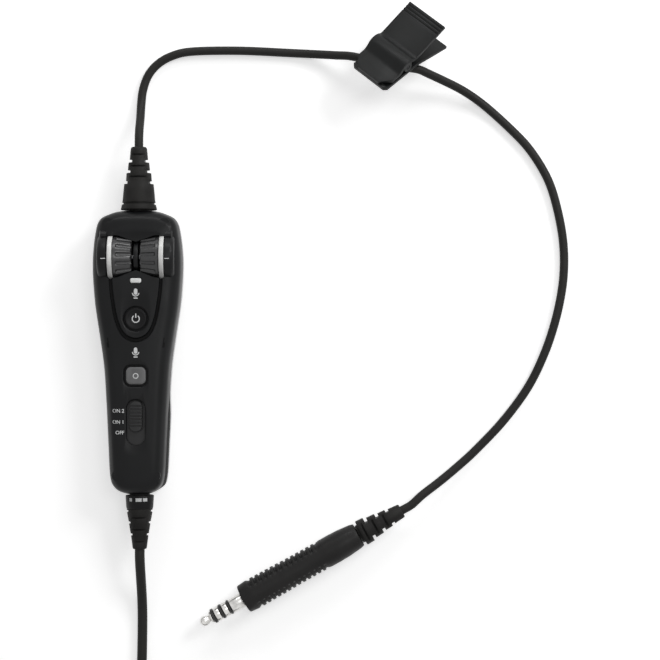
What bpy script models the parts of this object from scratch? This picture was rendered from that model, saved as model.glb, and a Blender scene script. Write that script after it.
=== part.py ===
"""Aviation headset cable: control module, cords, garment clip, four-contact plug and headset connector.

The module lies on its back with its controls up: +Y runs towards the volume wheels, +X to the right and
+Z up. The origin is under the middle of the module, on the surface it lies on. Sizes are in millimetres
and MM turns them into metres when a mesh is made.
"""

import math

import bmesh
import bpy
from mathutils import Matrix, Vector

MM = 0.001
SEAT_GAP = 0.3

# Module casing
MODULE_TOP_Y = 66.4
MODULE_END_Y = -70.8
PARTING_Z = 12.5
FACE_Z = 24.0
SHELL_WALL = 1.8
REAR_WALL = 1.6
REAR_FLARE = 1.2
FLARE_TOP_Y = -2.0
FLARE_END_Y = -62.0
FLARE_BLEND = 7.0
OUTLINE_STEPS = 2
HALF_OUTLINE = (
    (MODULE_TOP_Y, 0.0),
    (66.1, 8.0),
    (64.8, 13.2),
    (61.9, 18.3),
    (55.1, 20.5),
    (40.6, 21.75),
    (23.2, 20.8),
    (7.7, 18.6),
    (-7.7, 16.4),
    (-25.0, 15.2),
    (-46.4, 14.2),
    (-61.9, 13.3),
    (-67.2, 11.2),
    (-69.9, 7.0),
    (MODULE_END_Y, 0.0),
)
WIDEST_HALF = 21.75
CASE_MIDDLE_Y = (MODULE_TOP_Y + MODULE_END_Y) / 2
CASE_HALF_LENGTH = (MODULE_TOP_Y - MODULE_END_Y) / 2

# Volume wheels and what they turn in
AXLE_Y = 43.7
AXLE_Z = 17.3
WHEEL_INNER_X = 2.1
WHEEL_OUTER_X = 13.5
WHEEL_WAIST_R = 9.3
WHEEL_RIM_R = 10.9
WHEEL_RIBS = 15
RIB_DEPTH = 0.8
RIB_END = 1.4
BAND_WIDTH = 2.9
BAND_THICKNESS = 1.0
BAND_R = 11.4
WELL_GAP = 0.45
CHEEK_R = 11.5
CHEEK_WIDTH = 3.3
CHEEK_EDGE = 1.2
CHEEK_FOOT_Z = 21.8
SCOOP_RISE = 7.3
SCOOP_REACH = 5.6
SCOOP_DEPTH = 1.1
SCOOP_HALF = 12.4
DIVIDER_HALF = 1.2
DIVIDER_R = 7.8
SHAFT_R = 1.5
SHAFT_FIT = 0.2
POT_R = 3.3
POT_WIDTH = 2.8

# Controls on the face
POWER_Y = 14.05
POWER_R = 5.5
FUNCTION_Y = -13.2
FUNCTION_WIDTH = 9.6
FUNCTION_LENGTH = 8.5
FUNCTION_CORNER = 2.4
BUTTON_GAP = 0.35
BUTTON_TRAVEL = 0.7
BUTTON_SINK = 0.2
SLOT_Y = -35.55
SLOT_WIDTH = 8.8
SLOT_LENGTH = 21.7
KNOB_WIDTH = 6.4
KNOB_LENGTH = 15.0
KNOB_RIBS = 7
SLIDER_TRAVEL = 5.6
STATUS_Y = 32.3
STATUS_WIDTH = 5.2
STATUS_LENGTH = 2.2
GROOVE_WIDTH = 1.2
GROOVE_DEPTH = 0.5

# Inside
CELL_R = 7.05
CELL_LENGTH = 50.2
CELL_PITCH = 14.4
CELL_TOP_Y = 29.6
DOOR_TOP_Y = 33.0
DOOR_END_Y = -31.0
DOOR_HEIGHT = 5.5
DOOR_FLOOR = 1.8
HINGE_Y = -29.6
HINGE_Z = 1.7
KNUCKLE_R = 1.6
HINGE_PIN_R = 0.7
HINGE_FIT = 0.2
KNUCKLE_HALF = 8.0
LUG_WIDTH = 2.0
BULKHEAD = 1.4
BOARD_THICKNESS = 1.6
BOARD_EDGE = ((31.2, 5.8), (8.0, 4.1), (-14.0, 3.5), (-34.0, 3.5), (-56.0, 3.6))
SCREW_TOP = (13.5, 59.5)
SCREW_END = (8.8, -61.0)
BOSS_R = 2.8
SCREW_R = 1.1
SCREW_HEAD_R = 2.0

# Strain reliefs and cords
UPPER_RELIEF_X = 0.4
LOWER_RELIEF_X = 0.8
RELIEF_NECK_R = 4.9
RELIEF_FLANGE_R = 6.6
UPPER_RELIEF_LENGTH = 30.4
LOWER_RELIEF_LENGTH = 26.0
PLUG_CORD_D = 4.2
HEADSET_CORD_D = 4.8
COIL_TURN_POINTS = 24
COIL_TURNS = 4.25
COIL_PITCH = 5.35
COIL_INNER_R = 23.7
COIL_CENTRE_Y = -192.0
TIE_THICKNESS = 0.6
TIE_WIDTH = 14.0

# Plug
PLUG_SHAFT_R = 3.57
PLUG_AXIS_Z = 7.9
PLUG_FRONT = (50.9, -122.1)
PLUG_TURN = math.radians(29.3)
HANDLE_LENGTH = 64.0
HANDLE_R = 7.6
HANDLE_RIBS = 13
HANDLE_RIB_PITCH = 2.8
HANDLE_RIB_DEPTH = 0.9
TAIL_LENGTH = 23.7

# Garment clip, in its own frame: x across the jaws, y towards the finger tabs, z away from the cord
CLIP_CENTRE = (122.8, 136.1)
CLIP_CORD_Z = 15.6
CLIP_TURN = math.radians(-49.3)
CLIP_PITCH = math.radians(-18.0)
CLIP_ROLL = math.radians(26.0)
CORD_ACROSS_CLIP = math.radians(32.0)
CLIP_WIDTH = 23.3
CLIP_FRONT_Y = -15.8
CLIP_TAB_Y = 24.6
CLIP_TAB_Z = 16.6
CLIP_CREASE = (4.9, 10.9)
CLIP_SHEET = 1.6
CLIP_PIN_Y = -0.2
CLIP_PIN_Z = 8.6
CLIP_PIN_R = 0.7
LOWER_JAW_Z = 3.9
LOWER_TAB_Y = 25.7
LOWER_TAB_DROP = 4.7
EAR_R = 2.1
EAR_WIDTH = 1.3
SPRING_WIRE_R = 0.35
SPRING_R = 1.4
SPRING_TURNS = 4
RIVET_R = 1.6

# Headset connector
CONNECTOR_X = 73.0
CONNECTOR_LENGTH = 22.0
CONNECTOR_WIDTH = 20.0
CONNECTOR_HEIGHT = 9.0
CONNECTOR_RELIEF = 13.0
CONNECTOR_PINS = 6
PIN_PITCH = 2.8
PIN_R = 0.5
JACK_SCREW_R = 1.2

BLACK_PLASTIC = ("black_plastic", (0.012, 0.012, 0.013), 0.38, 0.0)
BLACK_RUBBER = ("black_rubber", (0.035, 0.033, 0.031), 0.7, 0.0)
CORD_JACKET = ("cord_jacket", (0.045, 0.042, 0.038), 0.6, 0.0)
WHITE_PLASTIC = ("white_plastic", (0.8, 0.8, 0.78), 0.35, 0.0)
GREY_KEY = ("grey_key", (0.26, 0.26, 0.26), 0.45, 0.0)
BOARD_GREEN = ("board_green", (0.02, 0.12, 0.05), 0.45, 0.0)
STEEL = ("steel", (0.55, 0.55, 0.55), 0.3, 1.0)
NICKEL = ("nickel", (0.72, 0.71, 0.69), 0.15, 1.0)
GOLD = ("gold", (0.85, 0.6, 0.22), 0.25, 1.0)
CELL_JACKET = ("cell_jacket", (0.06, 0.07, 0.09), 0.35, 0.2)


def clear_scene():
    """Removes whatever the scene holds."""
    for thing in list(bpy.data.objects):
        bpy.data.objects.remove(thing, do_unlink=True)


def finish_material(finish):
    """Gives the material of a finish, made once."""
    name, colour, roughness, metallic = finish
    material = bpy.data.materials.get(name)
    if material is None:
        material = bpy.data.materials.new(name)
        material.use_nodes = True
        shader = material.node_tree.nodes["Principled BSDF"]
        shader.inputs["Base Color"].default_value = (*colour, 1.0)
        shader.inputs["Roughness"].default_value = roughness
        shader.inputs["Metallic"].default_value = metallic
    return material


def make_object(name, shape, finish=None, parent=None):
    """Turns a bmesh in millimetres into an object; without a finish it is a hidden tool."""
    bmesh.ops.remove_doubles(shape, verts=shape.verts, dist=0.001)
    bmesh.ops.recalc_face_normals(shape, faces=shape.faces)
    bmesh.ops.scale(shape, vec=(MM, MM, MM), verts=shape.verts)
    mesh = bpy.data.meshes.new(name)
    shape.to_mesh(mesh)
    shape.free()
    thing = bpy.data.objects.new(name, mesh)
    bpy.context.scene.collection.objects.link(thing)
    if parent is not None:
        thing.parent = parent
    if finish is None:
        thing.hide_render = True
        thing.display_type = "WIRE"
    else:
        mesh.materials.append(finish_material(finish))
        mesh.shade_smooth()
        mesh.set_sharp_from_angle(angle=math.radians(32))
    return thing


def make_empty(name, location, rotation=None, parent=None):
    """Places an empty, in millimetres, that carries pieces or marks a joint's axis."""
    empty = bpy.data.objects.new(name, None)
    bpy.context.scene.collection.objects.link(empty)
    place = Matrix.Translation(Vector(location) * MM)
    empty.matrix_local = place @ rotation.to_4x4() if rotation else place
    empty.parent = parent
    return empty


def combine(target, tool, operation):
    """Adds a Boolean to the target."""
    boolean = target.modifiers.new(tool.name, "BOOLEAN")
    boolean.operation = operation
    boolean.object = tool
    boolean.solver = "EXACT"


def cut(target, name, shape, parent=None):
    """Cuts a shape out of the target."""
    combine(target, make_object(name, shape, None, parent), "DIFFERENCE")


def join(target, name, shape, parent=None):
    """Joins a shape to the target."""
    combine(target, make_object(name, shape, None, parent), "UNION")


def loft(rings, closed=False):
    """Skins rings of equal count, and caps the two ends or closes them into a hoop."""
    shape = bmesh.new()
    rows = [[shape.verts.new(point) for point in ring] for ring in rings]
    count = len(rows[0])
    pairs = list(zip(rows, rows[1:]))
    if closed:
        pairs.append((rows[-1], rows[0]))
    for low, high in pairs:
        for i in range(count):
            j = (i + 1) % count
            shape.faces.new((low[i], low[j], high[j], high[i]))
    if not closed:
        shape.faces.new(rows[0])
        shape.faces.new(list(reversed(rows[-1])))
    return shape


def circle(radius, axial, count, start=0.0):
    """A ring of points about the X axis."""
    steps = [start + math.tau * i / count for i in range(count)]
    return [(axial, radius * math.cos(t), radius * math.sin(t)) for t in steps]


def turned(profile, count):
    """A turned solid about X from (axial, radius) pairs."""
    return loft([circle(radius, axial, count) for axial, radius in profile])


def hoop(profile, count):
    """A turned ring about X from a closed loop of (axial, radius) pairs."""
    return loft([circle(radius, axial, count) for axial, radius in profile], closed=True)


def moved(shape, location, rotation=None):
    """Turns and then moves a shape."""
    if rotation is not None:
        bmesh.ops.rotate(shape, cent=(0, 0, 0), matrix=rotation, verts=shape.verts)
    bmesh.ops.translate(shape, vec=location, verts=shape.verts)
    return shape


def prism(points, low, high):
    """Extrudes an outline in X and Y between two heights."""
    return loft([[(x, y, z) for x, y in points] for z in (low, high)])


def box(x_span, y_span, z_span):
    """A box between two corners."""
    (left, right), (near, far) = x_span, y_span
    return prism([(left, near), (right, near), (right, far), (left, far)], *z_span)


def merged(shapes):
    """Puts shapes that don't touch into one bmesh."""
    whole = bmesh.new()
    for shape in shapes:
        mesh = bpy.data.meshes.new("part_of_a_tool")
        shape.to_mesh(mesh)
        shape.free()
        whole.from_mesh(mesh)
        bpy.data.meshes.remove(mesh)
    return whole


def rounded_outline(width, length, corner, middle_y=0.0, steps=4):
    """A rectangle with round corners about (0, middle_y)."""
    points = []
    for quarter, (sx, sy) in enumerate(((1, 1), (-1, 1), (-1, -1), (1, -1))):
        cx = sx * (width / 2 - corner)
        cy = middle_y + sy * (length / 2 - corner)
        for i in range(steps + 1):
            t = math.pi / 2 * (quarter + i / steps)
            points.append((cx + corner * math.cos(t), cy + corner * math.sin(t)))
    return points


def curve_point(a, b, c, d, t):
    """A point of the smooth curve between b and c, from its four nearest knots."""
    square = (2 * a - 5 * b + 4 * c - d) * t**2
    cube = (3 * b - a - 3 * c + d) * t**3
    return 0.5 * (2 * b + (c - a) * t + square + cube)


def smooth_path(points, per_span):
    """Reads points from a smooth curve through the given ones."""
    knots = [Vector(p) for p in points]
    knots = [2 * knots[0] - knots[1], *knots, 2 * knots[-1] - knots[-2]]
    path = []
    for a, b, c, d in zip(knots, knots[1:], knots[2:], knots[3:]):
        for i in range(per_span):
            path.append(curve_point(a, b, c, d, i / per_span))
    path.append(knots[-2])
    return path


def even_path(points, spacing):
    """Smooths a route and reads it again at even steps."""
    fine = smooth_path(points, 12)
    lengths = [0.0]
    for a, b in zip(fine, fine[1:]):
        lengths.append(lengths[-1] + (b - a).length)
    count = max(2, round(lengths[-1] / spacing))
    path = []
    at = 0
    for i in range(count + 1):
        goal = lengths[-1] * i / count
        while at < len(fine) - 2 and lengths[at + 1] < goal:
            at += 1
        span = lengths[at + 1] - lengths[at]
        path.append(fine[at].lerp(fine[at + 1], (goal - lengths[at]) / span))
    return path


def led_path(route, spacing):
    """An even path whose first and last spans are straight, so that its ends are square to what they meet."""
    return [Vector(route[0]), *even_path(route[1:-1], spacing), Vector(route[-1])]


def make_tube(name, points, radius, resolution, finish, parent=None):
    """A cord or wire: a curve with a round section and filled ends."""
    curve = bpy.data.curves.new(name, "CURVE")
    curve.dimensions = "3D"
    curve.bevel_depth = radius * MM
    curve.bevel_resolution = resolution
    curve.use_fill_caps = True
    spline = curve.splines.new("POLY")
    spline.points.add(len(points) - 1)
    for spot, point in zip(spline.points, points):
        spot.co = (*(Vector(point) * MM), 1.0)
    spline.use_smooth = True
    curve.materials.append(finish_material(finish))
    thing = bpy.data.objects.new(name, curve)
    bpy.context.scene.collection.objects.link(thing)
    thing.parent = parent
    return thing


def half_width(y):
    """Half the casing's width at a height along the module."""
    for (high, wide), (low, narrow) in zip(HALF_OUTLINE, HALF_OUTLINE[1:]):
        if low <= y <= high:
            return narrow + (wide - narrow) * (y - low) / (high - low)
    return 0.0


def case_outline(inset=0.0, crown=0.0, flare=0.0):
    """The casing seen from above.

    inset moves it in square to its edge, crown draws it in towards the middle, and flare widens the
    battery end.
    """
    left = [(-half, y) for y, half in reversed(HALF_OUTLINE[1:-1])]
    loop = [(half, y) for y, half in HALF_OUTLINE] + left
    loop = [Vector((x, y, 0.0)) for x, y in loop]
    count = len(loop)
    curve = []
    for i in range(count):
        around = [loop[(i + k) % count] for k in (-1, 0, 1, 2)]
        for step in range(OUTLINE_STEPS):
            curve.append(curve_point(*around, step / OUTLINE_STEPS))
    points = []
    for i, point in enumerate(curve):
        along = curve[(i + 1) % len(curve)] - curve[i - 1]
        outward = Vector((-along.y, along.x, 0.0)).normalized()
        moved_point = point + outward * (flare * battery_bulge(point.y) - inset)
        x = moved_point.x * (1 - crown / WIDEST_HALF)
        y = CASE_MIDDLE_Y + (moved_point.y - CASE_MIDDLE_Y) * (1 - crown / CASE_HALF_LENGTH)
        points.append((x, y))
    return points


def battery_bulge(y):
    """How much of the rear shell's flare applies at a height along the module, 0 to 1."""
    rise = min(max((FLARE_TOP_Y - y) / FLARE_BLEND, 0.0), 1.0)
    fall = min(max((y - FLARE_END_Y) / FLARE_BLEND, 0.0), 1.0)
    return min(rise * rise * (3 - 2 * rise), fall * fall * (3 - 2 * fall))


def case_shell(levels):
    """A shell from (height, inset, crown, flare) rows: outside first, then back along the inside."""
    rings = []
    for z, inset, crown, flare in levels:
        rings.append([(x, y, z) for x, y in case_outline(inset, crown, flare)])
    return loft(rings)


def front_levels():
    """The front shell, from its crown over the rim and up again inside."""
    rim = PARTING_Z + SEAT_GAP / 2
    wall = SHELL_WALL
    ceiling = FACE_Z - wall
    outside = [(FACE_Z, 2.0, 6.2, 0), (FACE_Z - 0.6, 2.0, 3.4, 0), (FACE_Z - 2.0, 2.0, 0.9, 0)]
    outside += [(FACE_Z - 5.0, 0.8, 0, 0), (rim, 0, 0, 0)]
    inside = [(rim, wall, 0, 0), (ceiling - 2.2, wall + 1.2, 0.6, 0), (ceiling, wall + 1.8, 4.6, 0)]
    return outside + inside


def rear_levels():
    """The rear shell, from its flat back over the rim and down again inside."""
    rim = PARTING_Z - SEAT_GAP / 2
    wall = REAR_WALL
    flare = REAR_FLARE
    outside = [(0, 2.0, 1.4, flare), (0.7, 1.8, 0, flare), (2.6, 0.4, 0, flare), (rim, 0, 0, flare)]
    inside = [(rim, wall, 0, flare), (4.0, wall + 0.4, 0, flare), (DOOR_FLOOR, wall + 1.8, 1.4, flare)]
    return outside + inside


def upright_cylinder(radius, x, y, low, high, count=16):
    """A cylinder about a line along Z."""
    steps = [math.tau * i / count for i in range(count)]
    return prism([(x + radius * math.cos(t), y + radius * math.sin(t)) for t in steps], low, high)


def screw_places():
    """The four case screws."""
    return [(side * x, y) for x, y in (SCREW_TOP, SCREW_END) for side in (-1, 1)]


def wheel_well():
    """Cutter of the wheel window: it follows the two wheels, so it is drawn in at the middle."""
    side = WHEEL_OUTER_X + SEAT_GAP
    seat = WHEEL_OUTER_X - BAND_WIDTH
    profile = [(0.0, WHEEL_WAIST_R - 0.1), (WHEEL_INNER_X, WHEEL_WAIST_R + WELL_GAP), (6.0, WHEEL_RIM_R)]
    profile += [(seat - 1.5, BAND_R + WELL_GAP), (side, BAND_R + WELL_GAP)]
    profile = [(-x, radius) for x, radius in reversed(profile[1:])] + profile
    return moved(turned(profile, 36), (0, AXLE_Y, AXLE_Z))


def cheek(side):
    """The round housing beside a wheel, standing on the face, with its outer edge sloped."""
    inner = WHEEL_OUTER_X + SEAT_GAP + 0.1
    outer = inner + CHEEK_WIDTH
    rings = []
    for x, radius in ((inner, CHEEK_R), (outer, CHEEK_R), (outer + CHEEK_EDGE, CHEEK_R - CHEEK_EDGE)):
        spread = math.acos((CHEEK_FOOT_Z - AXLE_Z) / radius)
        steps = [-spread + 2 * spread * i / 14 for i in range(15)]
        arc = [(AXLE_Y + radius * math.sin(t), AXLE_Z + radius * math.cos(t)) for t in steps]
        rings.append([(side * x, y, z) for y, z in arc])
    return loft(rings)


def thumb_scoop():
    """Cutter of the shallow hollow over the wheel window."""
    radius = (SCOOP_REACH**2 + SCOOP_DEPTH**2) / (2 * SCOOP_DEPTH)
    profile = [(SCOOP_HALF - 3.4, radius), (SCOOP_HALF - 1.5, radius - 0.15)]
    profile += [(SCOOP_HALF, radius - SCOOP_DEPTH - 0.1)]
    profile = [(-x, r) for x, r in reversed(profile)] + profile
    return moved(turned(profile, 48), (0, AXLE_Y + SCOOP_RISE, FACE_Z - SCOOP_DEPTH + radius))


def groove_ring():
    """Cutter of the U-shaped groove that frames the power button."""
    route = [(-12.3, 35.2), (-11.4, 25.0), (-9.3, 13.5), (-5.8, 6.4), (0, 3.9)]
    route += [(-x, y) for x, y in reversed(route[:-1])]
    path = smooth_path([(x, y, 0.0) for x, y in route], 2)
    rings = []
    for i, point in enumerate(path):
        along = path[min(i + 1, len(path) - 1)] - path[max(i - 1, 0)]
        across = Vector((-along.y, along.x, 0.0)).normalized() * GROOVE_WIDTH / 2
        up = Vector((0, 0, GROOVE_DEPTH))
        floor = point + Vector((0, 0, FACE_Z - GROOVE_DEPTH))
        ring = [floor - across * 0.5, floor + across * 0.5]
        rings.append(ring + [floor + across * 1.5 + 2 * up, floor - across * 1.5 + 2 * up])
    return loft(rings)


def make_front_shell():
    """The moulded front: cheeks, scoop, window, button holes, slot, groove, bosses and cord outlets."""
    shell = make_object("front_shell", case_shell(front_levels()), BLACK_PLASTIC)
    join(shell, "cheeks", merged([cheek(-1), cheek(1)]))
    rim = PARTING_Z + SEAT_GAP / 2
    bosses = [upright_cylinder(BOSS_R, x, y, rim, FACE_Z - 1.6, 10) for x, y in screw_places()]
    join(shell, "front_bosses", merged(bosses))
    board_top = board_bottom() + BOARD_THICKNESS
    posts = [(10.5, 23.0), (-10.5, 23.0), (8.4, -53.0), (-8.4, -53.0)]
    posts = [upright_cylinder(1.5, x, y, board_top + SEAT_GAP, FACE_Z - 1.0, 6) for x, y in posts]
    join(shell, "board_posts", merged(posts))
    holes = [wheel_well()]
    holes.append(upright_cylinder(POWER_R + BUTTON_GAP, 0, POWER_Y, FACE_Z - 4, FACE_Z + 2, 28))
    grown = 2 * BUTTON_GAP
    width, length = FUNCTION_WIDTH + grown, FUNCTION_LENGTH + grown
    outlines = [rounded_outline(width, length, FUNCTION_CORNER + BUTTON_GAP, FUNCTION_Y)]
    outlines.append(rounded_outline(SLOT_WIDTH, SLOT_LENGTH, 4.2, SLOT_Y, 5))
    outlines.append(rounded_outline(STATUS_WIDTH + grown, STATUS_LENGTH + grown, 1.0, STATUS_Y, 3))
    holes += [prism(outline, FACE_Z - 4, FACE_Z + 2) for outline in outlines]
    for x, y in screw_places():
        holes.append(upright_cylinder(SCREW_R + SEAT_GAP, x, y, PARTING_Z - 1, FACE_Z - 4, 10))
    cut(shell, "thumb_scoop", thumb_scoop())
    cut(shell, "face_holes", merged(holes))
    cut(shell, "face_groove", groove_ring())
    cut(shell, "front_outlets", cord_outlets())


def cord_outlets():
    """The two round outlets on the parting line, shared by both shells."""
    turn = Matrix.Rotation(math.pi / 2, 3, "Z")
    radius = RELIEF_NECK_R + SEAT_GAP
    outlets = []
    for x, y in ((UPPER_RELIEF_X, MODULE_TOP_Y), (LOWER_RELIEF_X, MODULE_END_Y)):
        outlets.append(moved(turned([(-8, radius), (8, radius)], 20), (x, y, PARTING_Z), turn))
    return merged(outlets)


def cell_axis_z():
    """Height of the cells' axes over the door's floor."""
    return DOOR_FLOOR + SEAT_GAP + CELL_R + 0.2


def board_bottom():
    """Underside of the circuit board, just over the cells."""
    return cell_axis_z() + CELL_R + 0.5


def door_block(gap):
    """The block of the rear shell that is the door, shrunk by a gap."""
    low_y = DOOR_END_Y + gap - SEAT_GAP
    return box((-30, 30), (low_y, DOOR_TOP_Y - gap), (-5, DOOR_HEIGHT - gap))


def lug_blocks(grow):
    """Boxes of the two hinge lugs, or with grow the slots that they stand in."""
    blocks = []
    for side in (-1, 1):
        inner = KNUCKLE_HALF + 0.4 - grow
        outer = KNUCKLE_HALF + 0.4 + LUG_WIDTH + grow
        span = sorted((side * inner, side * outer))
        reach = HINGE_Y + KNUCKLE_R + 1.6 * grow
        blocks.append(box(span, (DOOR_END_Y - 2.5, reach), (0.35 - 10 * grow, HINGE_Z + KNUCKLE_R + grow)))
    return blocks


def hinge_rod(radius, half):
    """A rod on the door's hinge axis."""
    return moved(turned([(-half, radius), (half, radius)], 16), (0, HINGE_Y, HINGE_Z))


def make_rear_shell():
    """The moulded back: door opening, bulkheads, screw bosses and hinge lugs."""
    shell = make_object("rear_shell", case_shell(rear_levels()), BLACK_PLASTIC)
    bosses = [upright_cylinder(BOSS_R, x, y, 0.9, PARTING_Z - SEAT_GAP / 2, 10) for x, y in screw_places()]
    join(shell, "rear_bosses", merged(bosses))
    opening = box((-30, 30), (DOOR_END_Y - 0.6, DOOR_TOP_Y + 0.15), (-5, DOOR_HEIGHT + 0.15))
    cut(shell, "door_opening", opening)
    top = board_bottom() - SEAT_GAP
    upper_y = CELL_TOP_Y + 1.6
    lower_y = CELL_TOP_Y - CELL_LENGTH - 1.3 - BULKHEAD
    reach = half_width(upper_y + BULKHEAD) - REAR_WALL / 2
    upper = box((-reach, reach), (upper_y, upper_y + BULKHEAD), (DOOR_HEIGHT + SEAT_GAP, PARTING_Z - 0.4))
    reach = half_width(lower_y) + REAR_FLARE - REAR_WALL / 2
    lower = box((-reach, reach), (lower_y, lower_y + BULKHEAD), (DOOR_HEIGHT + SEAT_GAP, PARTING_Z - 0.4))
    rise = (PARTING_Z - 2, top)
    high_upper = box((-9.8, 9.8), (upper_y + 0.01, upper_y + BULKHEAD - 0.2), rise)
    high_lower = box((-10, 10), (lower_y + 0.01, lower_y + BULKHEAD - 0.01), rise)
    join(shell, "bulkheads", merged([upper, lower]))
    join(shell, "bulkhead_tops", merged([high_upper, high_lower]))
    join(shell, "hinge_lugs", merged(lug_blocks(0.0)))
    holes = [hinge_rod(HINGE_PIN_R + HINGE_FIT, KNUCKLE_HALF + LUG_WIDTH + 1.4)]
    for x, y in screw_places():
        holes.append(upright_cylinder(SCREW_R + SEAT_GAP, x, y, 1.0, PARTING_Z + 1, 10))
    cut(shell, "rear_holes", merged(holes))
    heads = [upright_cylinder(SCREW_HEAD_R + SEAT_GAP, x, y, -1.0, 2.0, 12) for x, y in screw_places()]
    cut(shell, "screw_recesses", merged(heads))
    cut(shell, "rear_outlets", cord_outlets())


def make_battery_door():
    """The door: the block of the back under the cells, with its hinge knuckle."""
    door = make_object("battery_door", case_shell(rear_levels()), BLACK_PLASTIC)
    combine(door, make_object("door_block", door_block(0.15)), "INTERSECT")
    join(door, "door_knuckle", hinge_rod(KNUCKLE_R, KNUCKLE_HALF))
    cut(door, "lug_slots", merged(lug_blocks(0.4)))
    edge = DOOR_END_Y - 0.2
    top = DOOR_HEIGHT - 0.15
    outer = [(-1.0, -1.0), (2.0, -1.0), (-1.0, 2.0)]
    inner = [(-1.0, top - 1.55), (1.55, top + 1.0), (-1.0, top + 1.0)]
    for name, slope in (("door_end_chamfer", outer), ("door_lift_chamfer", inner)):
        rings = [[(x, edge + y, z) for y, z in slope] for x in (-30, 30)]
        cut(door, name, loft(rings))
    cut(door, "door_pin_bore", hinge_rod(HINGE_PIN_R + HINGE_FIT, KNUCKLE_HALF + 1))
    thumb = moved(turned([(-7, 1.6), (7, 1.6)], 12), (0, DOOR_TOP_Y - 5.0, -0.9))
    cut(door, "thumb_notch", thumb)
    half = KNUCKLE_HALF + LUG_WIDTH + 0.2
    pin = turned([(-half, HINGE_PIN_R), (half, HINGE_PIN_R)], 12)
    make_object("door_hinge_pin", moved(pin, (0, HINGE_Y, HINGE_Z)), STEEL)


def make_cells():
    """Two cells side by side, pointing opposite ways, and the contacts at their ends."""
    turn = Matrix.Rotation(math.pi / 2, 3, "Z")
    middle_y = CELL_TOP_Y - CELL_LENGTH / 2
    half = CELL_LENGTH / 2
    profile = [(-half, CELL_R - 0.9), (-half + 0.5, CELL_R), (half - 1.9, CELL_R), (half - 1.2, CELL_R - 1.0)]
    profile += [(half - 1.2, 2.7), (half, 2.5)]
    for name, side in (("battery_cell_left", -1), ("battery_cell_right", 1)):
        flip = turn if side > 0 else Matrix.Rotation(-math.pi / 2, 3, "Z")
        shape = moved(turned(profile, 18), (side * CELL_PITCH / 2, middle_y, cell_axis_z()), flip)
        make_object(name, shape, CELL_JACKET)
    for name, side in (("cell_contact_left", -1), ("cell_contact_right", 1)):
        x = side * CELL_PITCH / 2
        wall = CELL_TOP_Y + 1.6 - SEAT_GAP
        front = wall - 0.4
        bend = [(wall, -4.0), (wall, 4.5), (front, 4.5), (front, 1.5), (front - 0.55, 0.0)]
        bend += [(front, -1.5), (front, -4.0)]
        rings = [[(x + w, y, cell_axis_z() + z) for y, z in bend] for w in (-2.5, 2.5)]
        make_object(name, loft(rings), NICKEL)
    wall = CELL_TOP_Y - CELL_LENGTH - 1.3 + SEAT_GAP
    mid = cell_axis_z()
    strip = box((-11.0, 11.0), (wall, wall + 0.4), (mid - 3.5, mid + 3.5))
    bridge = make_object("bridge_contact", strip, NICKEL)
    bumps = []
    for side in (-1, 1):
        bump = turned([(0.2, 2.2), (0.75, 1.2)], 12)
        bumps.append(moved(bump, (side * CELL_PITCH / 2, wall, mid), turn))
    join(bridge, "bridge_bumps", merged(bumps))


def make_board():
    """The circuit board and the switches on it."""
    low = board_bottom()
    top = low + BOARD_THICKNESS
    right = [(half_width(y) - margin, y) for y, margin in BOARD_EDGE]
    left = [(-x, y) for x, y in right]
    make_object("circuit_board", prism(left + list(reversed(right)), low, top), BOARD_GREEN)
    base = top + SEAT_GAP
    for name, y in (("power_switch", POWER_Y), ("function_switch", FUNCTION_Y)):
        switch = make_object(name, box((-2.6, 2.6), (y - 2.6, y + 2.6), (base, base + 0.5)), STEEL)
        top = stem_bottom() - BUTTON_TRAVEL - 0.15
        join(switch, name + "_plunger", upright_cylinder(1.3, 0, y, base + 0.3, top, 12))
    body = box((-3.4, 3.4), (SLOT_Y - 9.5, SLOT_Y + 7.5), (base, base + 1.5))
    slide = make_object("slide_switch", body, STEEL)
    run = (knob_middle() - SLIDER_TRAVEL - 2.3, knob_middle() + 2.3)
    cut(slide, "switch_groove", box((-1.5, 1.5), run, (base + 0.4, base + 5)))


def ceiling():
    """Inner face of the front shell's flat part."""
    return FACE_Z - SHELL_WALL


def stem_bottom():
    """Lower end of a button's stem at rest."""
    return board_bottom() + BOARD_THICKNESS + SEAT_GAP + 0.5 + 0.25 + BUTTON_TRAVEL


def knob_middle():
    """Middle of the slider's knob at rest, at the upper end of its slot."""
    return SLOT_Y + (SLOT_LENGTH - KNOB_LENGTH) / 2 - 0.4


def domed_button(outline_at, height, edge):
    """A button cap with a softened top edge, from outlines by inset."""
    low = ceiling() - SEAT_GAP - 0.2
    top = FACE_Z - BUTTON_SINK + height
    rows = [(low, 0.0), (top - edge, 0.0), (top - edge * 0.3, edge * 0.3), (top, edge)]
    return loft([[(x, y, z) for x, y in outline_at(inset)] for z, inset in rows])


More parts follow.
